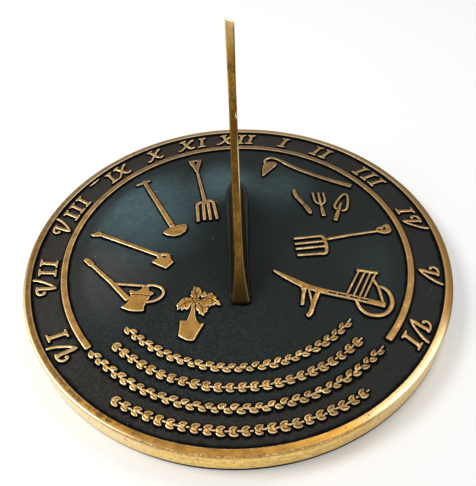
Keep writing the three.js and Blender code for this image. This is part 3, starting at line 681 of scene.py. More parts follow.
def stand(name: str, data: bpy.types.ID) -> bpy.types.Object:
    """Put a new object with a mesh, a lamp or a camera in the scene.

    Args:
        name: The object's name.
        data: What it shows.

    Returns:
        The new object.
    """
    made = bpy.data.objects.new(name, data)
    bpy.context.scene.collection.objects.link(made)
    return made


@dataclass
class Piece:
    """A mesh of the scene, with the numbers that its finish reads at each point."""

    name: str
    points: Points
    faces: Sequence[Face]
    marks: dict[str, np.ndarray] = field(default_factory=dict)

    def place(self, finish: bpy.types.Material, slot: str, stands_for: Sequence[str]) -> bpy.types.Object:
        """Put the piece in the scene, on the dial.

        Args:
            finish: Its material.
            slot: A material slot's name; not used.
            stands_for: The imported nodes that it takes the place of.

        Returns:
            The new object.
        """
        mesh = bpy.data.meshes.new(self.name)
        mesh.from_pydata(self.points.tolist(), [], self.faces)
        for name, values in self.marks.items():
            mesh.attributes.new(name, "FLOAT", "POINT").data.foreach_set("value", values.astype(np.float32))
        mesh.materials.append(finish)
        mesh.shade_smooth()
        mesh.update()
        made = stand(self.name, mesh)
        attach(made, ROOT)
        if stands_for:
            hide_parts(*stands_for)
        log.info("%s: %d points, %d faces", self.name, len(self.points), len(self.faces))
        return made


def ripple(points: Points, size: float, seed: float) -> np.ndarray:
    """Return soft noise from about -1 to 1 at each point, with swells of a size; a seed picks the noise."""
    placed = np.column_stack([points, np.full((len(points), 3 - points.shape[1]), seed)]) / size
    return np.array([noise.noise(Vector(place) + Vector((seed, -seed, seed))) for place in placed])


def eased(value: float, low: float, high: float) -> float:
    """Return a smooth step from 0 at low to 1 at high."""
    share = min(max((value - low) / (high - low), 0), 1)
    return share * share * (3 - 2 * share)


def on_circle(turns: np.ndarray) -> Points:
    """Return the points of a circle with a radius of 1 at some turns in radians."""
    return np.column_stack([np.cos(turns), np.sin(turns)])


def arc(radius: float, start: float, end: float, count: int) -> list[list[float]]:
    """Return even steps of an arc: each one's turn in degrees and its two distances from the middle."""
    turns = np.linspace(start, end, count)
    return np.column_stack([turns, radius * on_circle(np.radians(turns))]).tolist()


def staggered(rows: np.ndarray, columns: np.ndarray) -> Points:
    """Return points, one apart, for the numbers of their rows and columns."""
    return np.column_stack([(columns + 0.5 * (rows % 2)).ravel(), ROW_PITCH * rows.ravel()])


def smooth_line(points: Sequence[Sequence[float]], steps: int = 6) -> Points:
    """Return a soft curve through points.

    Args:
        points: The points, two numbers each.
        steps: How many pieces each stretch is cut into.

    Returns:
        The curve's points.
    """
    knots = np.array(points, float)
    ends = np.vstack([2 * knots[0] - knots[1], knots, 2 * knots[-1] - knots[-2]])
    share = np.linspace(0, 1, steps, endpoint=False)[:, None]
    curve = []
    for before, start, end, after in zip(ends, ends[1:], ends[2:], ends[3:]):
        bend = 2 * before - 5 * start + 4 * end - after
        twist = 3 * start - before - 3 * end + after
        curve.append(0.5 * (2 * start + (end - before) * share + bend * share**2 + twist * share**3))
    return np.vstack([*curve, knots[-1:]])


def resampled(loop: Loop, spacing: float) -> Loop:
    """Return a closed line with evenly spaced points.

    Args:
        loop: The line's points.
        spacing: The wanted distance between them.

    Returns:
        The new points.
    """
    closed = np.vstack([loop, loop[:1]])
    along = np.concatenate([[0.0], np.cumsum(np.linalg.norm(np.diff(closed, axis=0), axis=1))])
    places = np.linspace(0, along[-1], max(8, round(along[-1] / spacing)), endpoint=False)
    return np.column_stack([np.interp(places, along, closed[:, axis]) for axis in (0, 1)])


def turns_left(loop: Loop) -> bool:
    """Return whether a loop runs counter-clockwise."""
    after = np.roll(loop, -1, axis=0)
    return float(np.sum(loop[:, 0] * after[:, 1] - after[:, 0] * loop[:, 1])) > 0


def unit(vectors: Points) -> Points:
    """Return vectors with a length of 1."""
    return vectors / np.maximum(np.linalg.norm(vectors, axis=1, keepdims=True), TINY)


def outward(loop: Loop) -> Points:
    """Return the unit directions out of the metal along a loop that has the metal on its left."""
    along = np.roll(loop, -1, axis=0) - np.roll(loop, 1, axis=0)
    return unit(np.column_stack([along[:, 1], -along[:, 0]]))


def chains(follows: dict) -> list[list]:
    """Empty a table that gives what follows each item in closed chains.

    Args:
        follows: The table.

    Returns:
        The chains.
    """
    found = []
    while follows:
        first, current = follows.popitem()
        chain = [first]
        while current != first:
            chain.append(current)
            current = follows.pop(current)
        found.append(chain)
    return found


def ring_faces(rings: int, count: int) -> list[Face]:
    """Return the faces of a closed skin over rings of points.

    Args:
        rings: How many rings there are.
        count: How many points each has, counter-clockwise as seen from the last ring's side.

    Returns:
        The faces between the rings, then those of the first and the last ring.
    """
    faces = []
    for low in range(0, (rings - 1) * count, count):
        for place in range(count):
            after = (place + 1) % count
            faces.append((low + place, low + after, low + count + after, low + count + place))
    return [*faces, tuple(range(count))[::-1], tuple(range((rings - 1) * count, rings * count))]


def triangulated(
    plan: Points, outlines: Sequence[Sequence[int]], nearest: float
) -> tuple[Points, list[Face], list[list[int]]]:
    """Fill the area between outlines with triangles.

    Args:
        plan: The points in plan.
        outlines: The points along each outline, by their places in the plan.
        nearest: How near two points are joined to one, in millimetres.

    Returns:
        The points that the triangles use, the triangles, and the given points at each used one.
    """
    placed = [Vector(point) for point in (plan / MM).tolist()]
    used, _, triangles, origins, _, owners = delaunay_2d_cdt(placed, [], outlines, 1, nearest)
    kept = [tuple(face) for face, owner in zip(triangles, owners) if len(owner) % 2]
    return np.array([tuple(point) for point in used]) * MM, kept, origins


# Flat shapes


def along_edge(points: Points, start: Points, end: Points) -> tuple[np.ndarray, np.ndarray]:
    """Find the nearest place on a straight edge to each point.

    Args:
        points: The points.
        start: The edge's start.
        end: Its end.

    Returns:
        The places' shares of the edge, and the points' distances from them, squared.
    """
    edge, offset = end - start, points - start
    share = np.clip(offset @ edge / max(edge @ edge, 1e-18), 0, 1)
    return share, ((offset - share[:, None] * edge) ** 2).sum(1)


class Shape(Protocol):
    """A flat shape on the dial's face."""

    def box(self) -> tuple[Points, Points]:
        """Return its lowest and highest corner."""

    def inside(self, points: Points) -> np.ndarray:
        """Return how deep each point lies inside its edge, less than zero outside."""


@dataclass(frozen=True)
class Patch:
    """The area between closed outlines."""

    loops: tuple[Loop, ...]

    def box(self) -> tuple[Points, Points]:
        """Return its lowest and highest corner."""
        every = np.vstack(self.loops)
        return every.min(0), every.max(0)

    def inside(self, points: Points) -> np.ndarray:
        """Measure how deep points lie inside its edge.

        Args:
            points: The points.

        Returns:
            Their depths, less than zero outside.
        """
        nearest = np.full(len(points), np.inf)
        odd = np.zeros(len(points), bool)
        x, y = points.T
        for loop in self.loops:
            for start, end in zip(loop, np.roll(loop, -1, axis=0)):
                nearest = np.minimum(nearest, along_edge(points, start, end)[1])
                if start[1] != end[1]:
                    spans = (start[1] > y) != (end[1] > y)
                    odd ^= spans & (x - start[0] < (y - start[1]) * (end[0] - start[0]) / (end[1] - start[1]))
        return np.where(odd, 1, -1) * np.sqrt(nearest)


@dataclass(frozen=True)
class Band:
    """A strip with round ends along a line, with its widths spread evenly from end to end."""

    line: Points
    widths: tuple[float, ...]

    def box(self) -> tuple[Points, Points]:
        """Return its lowest and highest corner."""
        half = max(self.widths) / 2
        return self.line.min(0) - half, self.line.max(0) + half

    def inside(self, points: Points) -> np.ndarray:
        """Measure how deep points lie inside its edge.

        Args:
            points: The points.

        Returns:
            Their depths, less than zero outside.
        """
        places = np.linspace(0, 1, len(self.line))
        halves = np.interp(places, np.linspace(0, 1, len(self.widths)), self.widths) / 2
        deepest = np.full(len(points), -np.inf)
        for start, end, first, last in zip(self.line, self.line[1:], halves, halves[1:]):
            share, away = along_edge(points, start, end)
            deepest = np.maximum(deepest, first + (last - first) * share - np.sqrt(away))
        return deepest


@dataclass(frozen=True)
class ArcBand:
    """A ring's arc with square ends, a little uneven as cast."""

    inner: float
    outer: float
    start: float
    end: float
    unevenness: float

    def box(self) -> tuple[Points, Points]:
        """Return its lowest and highest corner."""
        return np.full(2, -self.outer), np.full(2, self.outer)

    def inside(self, points: Points) -> np.ndarray:
        """Measure how deep points lie inside its edge.

        Args:
            points: The points.

        Returns:
            Their depths, less than zero outside.
        """
        radius = np.linalg.norm(points, axis=1)
        bearing = np.arctan2(points[:, 1], points[:, 0])
        sway = sum(np.sin(bearing * turns + turns**2) / turns for turns in (3, 7, 13, 29)) * self.unevenness
        across = np.minimum(self.outer + sway - radius, radius - self.inner - 0.6 * sway)
        middle, half = (self.start + self.end) / 2, (self.end - self.start) / 2
        turn = np.abs((bearing - middle + math.pi) % math.tau - math.pi)
        return np.minimum(across, (half - turn) * radius)


# Raised work

# Which sides of a grid cell the edge enters and leaves by, for each set of its corners in the metal
EDGE_STEPS = {
    1: [(0, 3)],
    2: [(1, 0)],
    3: [(1, 3)],
    4: [(2, 1)],
    5: [(0, 3), (2, 1)],
    6: [(2, 0)],
    7: [(2, 3)],
    8: [(3, 2)],
    9: [(0, 2)],
    10: [(1, 0), (3, 2)],
    11: [(1, 2)],
    12: [(3, 1)],
    13: [(0, 1)],
    14: [(3, 0)],
}


class ReliefField:
    """How deep the points of a square grid lie inside raised metal, less than zero outside it."""

    def __init__(self, shapes: Sequence[Shape], step: float = 0.2 * MM) -> None:
        """Join shapes.

        Args:
            shapes: The shapes that are metal.
            step: The grid's spacing.
        """
        lows, highs = zip(*(shape.box() for shape in shapes))
        self.step = step
        self.margin = 6 * step
        self.low = np.min(lows, axis=0) - self.margin
        columns, rows = np.ceil((np.max(highs, axis=0) + self.margin - self.low) / step).astype(int) + 1
        self.values = np.full((rows, columns), -self.margin)
        for shape in shapes:
            self._lay(shape)

    def _lay(self, shape: Shape) -> None:
        """Join one shape with the grid, near the shape.

        Args:
            shape: The shape.
        """
        low, high = shape.box()
        first = np.maximum(((low - self.margin - self.low) / self.step).astype(int), 0)
        last = ((high + self.margin - self.low) / self.step).astype(int) + 1
        part = self.values[first[1] : last[1], first[0] : last[0]]
        rows, columns = np.indices(part.shape)
        grid = self.low + (np.column_stack([columns.ravel(), rows.ravel()]) + first) * self.step
        part[:] = np.maximum(part, shape.inside(grid).reshape(part.shape))

    def soften(self, radius: float) -> ReliefField:
        """Round every corner off, as casting and linishing do.

        Args:
            radius: About how round the corners become.

        Returns:
            This field.
        """
        spread = radius / self.step
        reach = math.ceil(2.5 * spread)
        weights = np.exp(-0.5 * (np.arange(-reach, reach + 1) / spread) ** 2)
        weights /= weights.sum()
        for axis, count in enumerate(self.values.shape):
            wider = [(reach, reach) if side == axis else (0, 0) for side in (0, 1)]
            padded = np.pad(self.values, wider, "edge")
            shifted = (np.take(padded, range(i, i + count), axis) for i in range(len(weights)))
            self.values = np.sum([part * weight for part, weight in zip(shifted, weights)], axis=0)
        return self

    def at(self, points: Points) -> np.ndarray:
        """Return the depth at each point.

        Args:
            points: The points.

        Returns:
            The depths, read between those of the grid.
        """
        place = (points - self.low) / self.step
        limit = np.array(self.values.shape)[::-1] - 2
        cell = np.clip(place.astype(int), 0, limit)
        across, up = np.clip(place - cell, 0, 1).T
        column, row = cell.T
        lower = self.values[row, column] * (1 - across) + self.values[row, column + 1] * across
        upper = self.values[row + 1, column] * (1 - across) + self.values[row + 1, column + 1] * across
        return lower * (1 - up) + upper * up

    def contours(self, spacing: float) -> list[Loop]:
        """Trace the metal's edge.

        Args:
            spacing: The distance between the points of a loop.

        Returns:
            Closed loops with the metal on their left.
        """
        bits = (self.values > 0).astype(int)
        corners = bits[:-1, :-1] + 2 * bits[:-1, 1:] + 4 * bits[1:, 1:] + 8 * bits[1:, :-1]
        follows = {}
        for row, column in zip(*np.nonzero((corners > 0) & (corners < 15))):
            sides = ((row, column, 0), (row, column + 1, 1), (row + 1, column, 0), (row, column, 1))
            for start, end in EDGE_STEPS[corners[row, column]]:
                follows[sides[start]] = sides[end]
        loops = []
        for chain in chains(follows):
            if len(chain) > 8:
                loop = resampled(np.array([self._crossing(*side) for side in chain]), spacing)
                loops.append((np.roll(loop, 1, axis=0) + 2 * loop + np.roll(loop, -1, axis=0)) / 4)
        return sorted(loops, key=len, reverse=True)

    def _crossing(self, row: int, column: int, upright: int) -> Points:
        """Return where the metal's edge crosses one side of a grid cell.

        Args:
            row: The side's row.
            column: The side's column.
            upright: 1 for a side that runs up, 0 for one that runs across.

        Returns:
            The point.
        """
        start = self.values[row, column]
        end = self.values[row + upright, column + 1 - upright]
        share = start / (start - end)
        along = np.array([0, share]) if upright else np.array([share, 0])
        return self.low + (np.array([column, row]) + along) * self.step

    def lattice(self, spacing: float, depth: float) -> Points:
        """Return staggered rows of points inside the metal.

        Args:
            spacing: How far apart they lie.
            depth: How deep inside they all lie at least.

        Returns:
            The points.
        """
        size = np.array(self.values.shape)[::-1] * self.step
        rows, columns = np.indices(np.ceil(size / spacing / [1, ROW_PITCH]).astype(int)[::-1])
        grid = staggered(rows, columns) * spacing + self.low
        return grid[self.at(grid) > depth]


@dataclass(frozen=True)
class Groove:
    """A line pressed into raised work."""

    line: Points
    width: float
    depth: float

    def share(self, points: Points) -> np.ndarray:
        """Return how much of the groove's depth each point has, from 0 to 1."""
        away = -Band(self.line, (0.0, 0.0)).inside(points)
        return np.exp(-((away / (0.6 * self.width)) ** 2))

    def guides(self) -> Points:
        """Return points along the groove's bottom and both of its edges."""
        along = np.vstack([np.linspace(a, b, 6, endpoint=False) for a, b in zip(self.line, self.line[1:])])
        step = np.gradient(along, axis=0)
        side = unit(np.column_stack([-step[:, 1], step[:, 0]])) * self.width
        return np.vstack([along, along + side, along - side])


@dataclass
class RaisedFigure:
    """Raised metal with rounded edges, standing on the dial's ground."""

    name: str
    metal: ReliefField
    ground: float
    top: float
    grooves: Sequence[Groove] = ()
    edge_round: float = 0.42 * MM
    crown: float = 0.16 * MM
    crown_reach: float = 1.3 * MM
    draft: float = 0.14 * MM
    sink: float = 0.12 * MM
    unevenness: float = 0.035 * MM
    swell_size: float = 2.6 * MM
    spacing: float = 0.36 * MM
    inner_spacing: float = 0.62 * MM
    insets: tuple[float, ...] = (0.12, 0.4, 0.8, 1.3)
    # A probe offset and a fall that find the edges facing south-west, where the edge highlight is painted
    highlight_probe: Sequence[float] = (0.15 * MM, 0.261 * MM)
    highlight_drop: float = 1.2 * MM

    def piece(self) -> tuple[Piece, list[Loop]]:
        """Build the mesh.

        Returns:
            The piece, and the loops along which it meets the ground.
        """
        loops = self.metal.contours(self.spacing)
        plan, faces, depth, edge = self._top_surface(loops)
        cut = self._cut(plan)
        heights = self._heights(plan, depth, cut)
        rise = self.top - self.ground
        points = [np.column_stack([plan, heights])]
        marks = {
            "rise": [(heights - self.ground) / rise],
            "inset": [depth / MM],
            "cut": [cut],
            "highlight_side": [self._highlight_side(plan)],
        }
        total = sum(len(loop) for loop in loops)
        for share, lean in ((0.5, 0.5), (-self.sink / rise, 1.0)):
            lower = np.vstack([loop + outward(loop) * self.draft * lean for loop in loops])
            points.append(np.column_stack([lower, np.full(total, self.ground + share * rise)]))
            marks["rise"].append(np.full(total, share))
            for name in ("inset", "cut", "highlight_side"):
                marks[name].append(np.zeros(total))
        rings = [edge, np.arange(total) + len(plan), np.arange(total) + len(plan) + total]
        for upper, lower in zip(rings, rings[1:]):
            for here in self._spans(loops):
                there = np.roll(here, -1)
                faces += zip(lower[here], lower[there], upper[there], upper[here])
        faces += [rings[2][list(face)][::-1] for face in self._filled(np.vstack(loops), loops)[1]]
        joined = {name: np.concatenate(values) for name, values in marks.items()}
        faces = [tuple(int(corner) for corner in face) for face in faces]
        return Piece(self.name, np.vstack(points), faces, joined), loops

    def _spans(self, loops: list[Loop]) -> list[np.ndarray]:
        """Return the places of each loop's points, counted through all loops."""
        starts = np.cumsum([0] + [len(loop) for loop in loops])
        return [np.arange(first, last) for first, last in zip(starts, starts[1:])]

    def _filled(self, plan: Points, loops: list[Loop]) -> tuple[Points, list[Face], list[list[int]]]:
        """Fill the area inside loops with triangles, in a plan that has the loops' points first."""
        spans = [span if turns_left(loop) else span[::-1] for span, loop in zip(self._spans(loops), loops)]
        return triangulated(plan, [span.tolist() for span in spans], 1e-5)

    def _top_surface(self, loops: list[Loop]) -> tuple[Points, list[Face], np.ndarray, np.ndarray]:
        """Lay points over the metal's top and join them.

        Args:
            loops: The metal's edge.

        Returns:
            The points in plan, the faces, each point's depth inside the edge, and the points along the edge.
        """
        plan = [np.vstack(loops)]
        depths = [np.zeros(len(plan[0]))]
        for share in self.insets:
            inset = share * self.edge_round
            moved = np.vstack([loop - outward(loop) * inset for loop in loops])
            plan.append(moved[self.metal.at(moved) > 0.8 * inset])
            depths.append(np.full(len(plan[-1]), inset))
        within = self.insets[-1] * self.edge_round + 0.4 * self.inner_spacing
        inner = [groove.guides() for groove in self.grooves]
        inner = [guides[self.metal.at(guides) > 0.3 * self.edge_round] for guides in inner]
        for points in (*inner, self.metal.lattice(self.inner_spacing, within)):
            plan.append(points)
            depths.append(self.metal.at(points))
        known = np.concatenate(depths)
        used, faces, origins = self._filled(np.vstack(plan), loops)
        depth = np.array([known[min(origin)] if origin else 0.0 for origin in origins])
        edge = np.zeros(len(plan[0]), int)
        for place, origin in enumerate(origins):
            for given in origin:
                if given < len(edge):
                    edge[given] = place
        return used, faces, depth, edge

    def _highlight_side(self, plan: Points) -> np.ndarray:
        """Return how much the edge beside each point faces south-west, from 0 to 1, for a painted highlight.
        """
        drop = self.metal.at(plan + self.highlight_probe) - self.metal.at(plan - self.highlight_probe)
        return np.clip(0.5 + drop / self.highlight_drop, 0, 1)

    def _cut(self, plan: Points) -> np.ndarray:
        """Return how deep in a groove each point lies, from 0 to 1."""
        return np.max([np.zeros(len(plan)), *(groove.share(plan) for groove in self.grooves)], axis=0)

    def _heights(self, plan: Points, depth: np.ndarray, cut: np.ndarray) -> np.ndarray:
        """Return the top's height at each point.

        Args:
            plan: The points in plan.
            depth: How deep inside the edge they lie.
            cut: How deep in a groove they lie.

        Returns:
            The heights.
        """
        bend = np.clip(self.edge_round - depth, 0, self.edge_round)
        fall = self.edge_round - np.sqrt(self.edge_round**2 - bend**2)
        crown = self.crown * (1 - np.clip(depth / self.crown_reach, 0, 1)) ** 2
        groove = max((groove.depth for groove in self.grooves), default=0.0) * cut
        swell = self.unevenness * (1 + ripple(plan, self.swell_size, 3.0))
        return self.top - fall - crown - groove - swell


# The dial's sizes


@dataclass(frozen=True)
class DialSizes:
    """Levels and radii of the dial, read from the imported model."""

    radius: float
    top: float
    ground: float
    recess_floor: float
    recess_radius: float
    ring_outer: float
    ring_width: float = 3.7 * MM
    field_margin: float = 1.8 * MM

    @classmethod
    def read(cls, recess_gap: float = 0.3 * MM) -> DialSizes:
        """Read the sizes.

        Args:
            recess_gap: The gap between the ground layer and the recess wall.

        Returns:
            The sizes.
        """
        plate, ground, ring = (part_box(node)[1] for node in ("dial_plate", "dial_ground", "hour_ring"))
        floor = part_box("dial_ground")[0].z
        return cls(plate.x, plate.z, ground.z, floor, ground.x + recess_gap, ring.x)

    @property
    def ring_inner(self) -> float:
        """The hour ring's inner radius."""
        return self.ring_outer - self.ring_width

    @property
    def field_radius(self) -> float:
        """The circle that holds the garden tools."""
        return self.ring_inner - self.field_margin


@dataclass
class Relief:
    """Places raised figures and keeps the lines along which they meet the ground."""

    sizes: DialSizes
    finish: bpy.types.Material
    foot_lines: list[Loop] = field(default_factory=list)

    def add(self, name: str, metal: ReliefField, stands_for: Sequence[str], **settings: object) -> None:
        """Build one figure and put it on the dial.

        Args:
            name: The piece's name.
            metal: Where its metal is.
            stands_for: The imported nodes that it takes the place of.
            **settings: Other values of the figure.
        """
        settings = {"ground": self.sizes.ground, "top": self.sizes.top, **settings}
        piece, loops = RaisedFigure(name, metal, **settings).piece()
        piece.place(self.finish, "polished_brass", stands_for)
        self.foot_lines += loops


# Plate and ground


@dataclass
class DialPlate:
    """The plate's casting: floor, skirt and rim, turned about the dial's axis."""

    sizes: DialSizes
    floor_thickness: float = 3.5 * MM
    floor_inner: float = 20 * MM
    floor_margin: float = 8 * MM
    roof_inner: float = 6 * MM
    skirt_thickness: float = 6.2 * MM
    skirt_fillet: float = 2.5 * MM
    rim_round: float = 1.15 * MM
    lip_round: float = 0.45 * MM
    foot_outer_round: float = 0.9 * MM
    foot_inner_round: float = 0.6 * MM
    crown: float = 0.08 * MM
    wall_shade_top: float = 2.9 * MM
    wall_shade_fall: float = 1.1 * MM
    lip_sway: float = 0.12 * MM
    lip_inset: float = 0.05 * MM
    lip_reach: float = 1.2 * MM
    rim_dent: float = 0.06 * MM
    rim_reach: float = 2 * MM
    steps: int = 480

    def build(self) -> None:
        """Make the plate."""
        turns = np.linspace(0, math.tau, self.steps, endpoint=False)
        section = np.array(self._section())
        faces = [(face[0], *face[:0:-1]) for face in ring_faces(len(section), self.steps)]
        names = ("patina", "polish_sheen", "wall", "under")
        marks = {name: np.repeat(values, self.steps) for name, values in zip(names, section.T[2:])}
        piece = Piece("plate_casting", self._turned(section, on_circle(turns)), faces, marks)
        piece.place(CastRimBrass().material(), "cast_brass", ["dial_plate"])

    def _section(self) -> list[tuple[float, ...]]:
        """Return the section's points from the recess floor round to the underside.

        Returns:
            Each point's radius and height, and its marks: patina, polish, wall and under.
        """
        sizes, rim, lip = self.sizes, self.rim_round, self.lip_round
        wall, inner, outer = sizes.recess_radius, sizes.recess_radius + lip, sizes.radius - rim
        lip_low, rim_low = sizes.top - lip, sizes.top - rim
        floor = np.linspace(self.floor_inner, wall - self.floor_margin, 6)
        rows = [(radius, sizes.recess_floor, 1, 0, 0, 0) for radius in floor]
        for height in np.linspace(sizes.recess_floor, lip_low, 5):
            rows.append((wall, height, 0.75 if height > sizes.top - 1.2 * lip else 1, 0, 0, 0))
        # The second mark, on the lip, the band's edges and the outer rounding, is real wear and a painted
        # highlight
        for turn, inward, up in arc(lip, 15, 90, 6):
            rows.append((inner - inward, lip_low + up, 1 - turn / 180, 0.8 * turn / 90, 0, 0))
        for share in np.linspace(0, 1, 10)[1:-1]:
            fall = (2 * share - 1) ** 2
            place = (inner + (outer - inner) * share, sizes.top - self.crown * fall)
            rows.append((*place, max(0, 0.5 - 2 * share), 0.8 * fall**3, 0, 0))
        for turn, out, up in arc(rim, 90, 0, 10):
            # A painted highlight along the outer rounding
            glow = 0.75 * math.sin(math.radians(2 * turn))
            rows.append((outer + out, rim_low + up, 0, glow, max(0, 0.35 - turn / 60), 0))
        # The patina mark along the foot of the wall and on its rounding is painted shade
        foot = self.foot_outer_round
        for height in np.linspace(rim_low, foot, 17)[1:]:
            shade = np.clip((self.wall_shade_top - height) / self.wall_shade_fall, 0, 0.9)
            rows.append((sizes.radius, height, shade, 0, 1, 0))
        for turn, out, down in arc(foot, 7.5, 90, 12):
            rows.append((sizes.radius - foot + out, foot - down, 0.9, 0, 1 - turn / 90, turn / 90))
        skirt, foot = sizes.radius - self.skirt_thickness, self.foot_inner_round
        roof, fillet = sizes.recess_floor - self.floor_thickness, self.skirt_fillet
        under = [(skirt + foot - inward, foot - down) for _, inward, down in arc(foot, 90, 0, 5)]
        under += [(skirt - fillet + out, roof - fillet + up) for _, out, up in arc(fillet, 0, 90, 8)]
        under += [(radius, roof) for radius in np.linspace(skirt - fillet, self.roof_inner, 14)[1:]]
        return rows + [(*point, 0, 0, 0, 1) for point in under]

    def _turned(self, section: np.ndarray, circle: Points) -> Points:
        """Turn the section about the axis, a little uneven as cast.

        Args:
            section: The section's rows.
            circle: The directions in which it stands.

        Returns:
            The points, ring by ring.
        """
        lip_sway = self.lip_sway * ripple(circle, 0.22, 5.0) - self.lip_inset
        rim_dent = self.rim_dent * (1 + ripple(circle, 0.09, 9.0))
        points = []
        for radius, height in section[:, :2]:
            lip = math.exp(-(((radius - self.sizes.recess_radius) / self.lip_reach) ** 2))
            rim = math.exp(-(((radius - self.sizes.radius) / self.rim_reach) ** 2))
            swayed = radius + lip * (height > self.sizes.ground) * lip_sway
            swayed = swayed - rim * (height > self.foot_outer_round) * rim_dent
            points.append(np.column_stack([circle * swayed[:, None], np.full(len(circle), height)]))
        return np.vstack(points)


@dataclass
class DialGround:
    """The dark ground of the recess, finely meshed along the foot of the raised work."""

    sizes: DialSizes
    foot_lines: list[Loop]
    overlap: float = 0.25 * MM
    spacing: float = 2.2 * MM
    nearest: float = 0.33 * MM
    line_distances: tuple[float, ...] = (0.0, 0.35 * MM, 0.75 * MM, 1.3 * MM, 2.1 * MM)
    halo_width: float = 1.5 * MM
    halo_grain: float = 3 * MM
    halo_raggedness: float = 0.45
    # Shares that widen the painted shade beside the wall and the hour ring
    wall_share: float = 0.62
    ring_share: float = 0.75
    ring_reach: float = 4.5 * MM
    swell: float = 0.045 * MM
    broad_swell: float = 21 * MM
    small_swell: float = 6 * MM
    swell_margin: float = 2 * MM

    def build(self) -> None:
        """Make the ground."""
        limit = self.sizes.recess_radius + self.overlap
        edge = self._circle(limit, 720)
        wall = self._circle(self.sizes.recess_radius, 1080)
        feet = [loop + outward(loop) * away for away in self.line_distances for loop in self.foot_lines]
        walls = [wall * (1 - away / self.sizes.recess_radius) for away in self.line_distances]
        plan = np.vstack([edge, *feet, *walls, self._lattice()])
        plan = plan[np.linalg.norm(plan, axis=1) <= limit + 0.01 * MM]
        cells = np.round(plan[len(edge) :] / self.nearest).astype(int)
        kept = np.unique(cells, axis=0, return_index=True)[1] + len(edge)
        plan = np.vstack([edge, plan[np.sort(kept)]])
        flat, faces, _ = triangulated(plan, [list(range(len(edge)))], 1e-4)
        self._stand(flat, faces)

    def _circle(self, radius: float, steps: int) -> Points:
        """Return the points of a circle."""
        return radius * on_circle(np.linspace(0, math.tau, steps, endpoint=False))

    def _lattice(self) -> Points:
        """Return staggered points over the whole recess."""
        count = math.ceil(self.sizes.recess_radius / self.spacing / ROW_PITCH)
        grid = staggered(*np.mgrid[-count : count + 1, -count : count + 1]) * self.spacing
        return grid[np.linalg.norm(grid, axis=1) < self.sizes.recess_radius - self.spacing]

    def _clearance(self, flat: Points) -> np.ndarray:
        """Return how far each point lies from metal, less beside the plate's wall and the hour ring.

        Args:
            flat: The points in plan.

        Returns:
            The distances.
        """
        tree = KDTree(sum(len(loop) for loop in self.foot_lines))
        for place, point in enumerate(np.vstack(self.foot_lines)):
            tree.insert((*point, 0.0), place)
        tree.balance()
        away = np.array([tree.find((*point, 0.0))[2] for point in flat])
        radius = np.linalg.norm(flat, axis=1)
        away = np.minimum(away, self.wall_share * np.abs(self.sizes.recess_radius - radius))
        ring = (self.sizes.ring_inner + self.sizes.ring_outer) / 2
        return np.where(np.abs(radius - ring) < self.ring_reach, self.ring_share, 1) * away

    def _stand(self, flat: Points, faces: list[Face]) -> None:
        """Give the ground its height, its edge and its marks, and place it.

        Args:
            flat: The points in plan.
            faces: The faces of the top.
        """
        # The halo mark: painted shade beside the raised work and the wall, partly the dark patina that
        # gathers there
        away = self._clearance(flat)
        ragged = self.halo_width * (1 + self.halo_raggedness * ripple(flat, self.halo_grain, 7.0))
        halo = np.clip(1 - away / ragged, 0, 1)
        swell = ripple(flat, self.broad_swell, 2.0) + 0.5 * ripple(flat, self.small_swell, 4.0) - 1.2
        rise = self.swell * swell * np.clip(away / self.swell_margin, 0, 1)
        top = np.column_stack([flat, self.sizes.ground + rise])
        steps = {step for face in faces for step in zip(face, (*face[1:], face[0]))}
        edge = dict(sorted((start, end) for start, end in steps if (end, start) not in steps))
        lower = {corner: len(flat) + place for place, corner in enumerate(edge)}
        base = np.array([(*flat[corner], self.sizes.recess_floor) for corner in edge])
        sides = [(lower[start], lower[end], end, start) for start, end in edge.items()]
        ring = [lower[corner] for corner in chains(edge)[0]]
        marks = {"halo": np.concatenate([halo, np.ones(len(base))])}
        piece = Piece("recess_ground", np.vstack([top, base]), [*faces, *sides, tuple(ring[::-1])], marks)
        piece.place(DarkPatina().material(), "dark_patina", ["dial_ground"])


# Hour ring, numerals, tools and garlands


@dataclass
class HourRing:
    """The open ring inside the numerals."""

    relief: Relief
    start: float = -41.2
    end: float = 220.4
    unevenness: float = 0.05 * MM
    step: float = 0.3 * MM
    rounding: float = 0.25 * MM
    spacing: float = 0.5 * MM
    inner_spacing: float = 0.9 * MM

    def build(self) -> None:
        """Make the ring."""
        sizes = self.relief.sizes
        start, end = math.radians(self.start), math.radians(self.end)
        band = ArcBand(sizes.ring_inner, sizes.ring_outer, start, end, self.unevenness)
        metal = ReliefField([band], self.step).soften(self.rounding)
        spacings = {"spacing": self.spacing, "inner_spacing": self.inner_spacing}
        self.relief.add("hour_ring_band", metal, ["hour_ring"], **spacings)


class Letter(Enum):
    """The three letters of the hour numerals."""

    ONE = "I"
    FIVE = "V"
    TEN = "X"


# Each hour's numeral: its node's name, its letters and their bearings, in degrees from the dial's east
HOURS = (
    ("vi_morning", "VI", (218, 211.1)),
    ("vii", "VII", (193.8, 186.95, 183.25)),
    ("viii", "VIII", (169, 161.7, 158.1, 154.5)),
    ("ix", "IX", (140, 135)),
    ("x", "X", (120.8,)),
    ("xi", "XI", (107.9, 102.1)),
    ("xii", "XII", (92.6, 87, 83.4)),
    ("i", "I", (70.5,)),
    ("ii", "II", (57.4, 53.6)),
    ("iii", "III", (38.5, 34.5, 30.7)),
    ("iv", "IV", (14.4, 10.2)),
    ("v", "V", (-11.3,)),
    ("vi_evening", "VI", (-31.2, -37.5)),
)


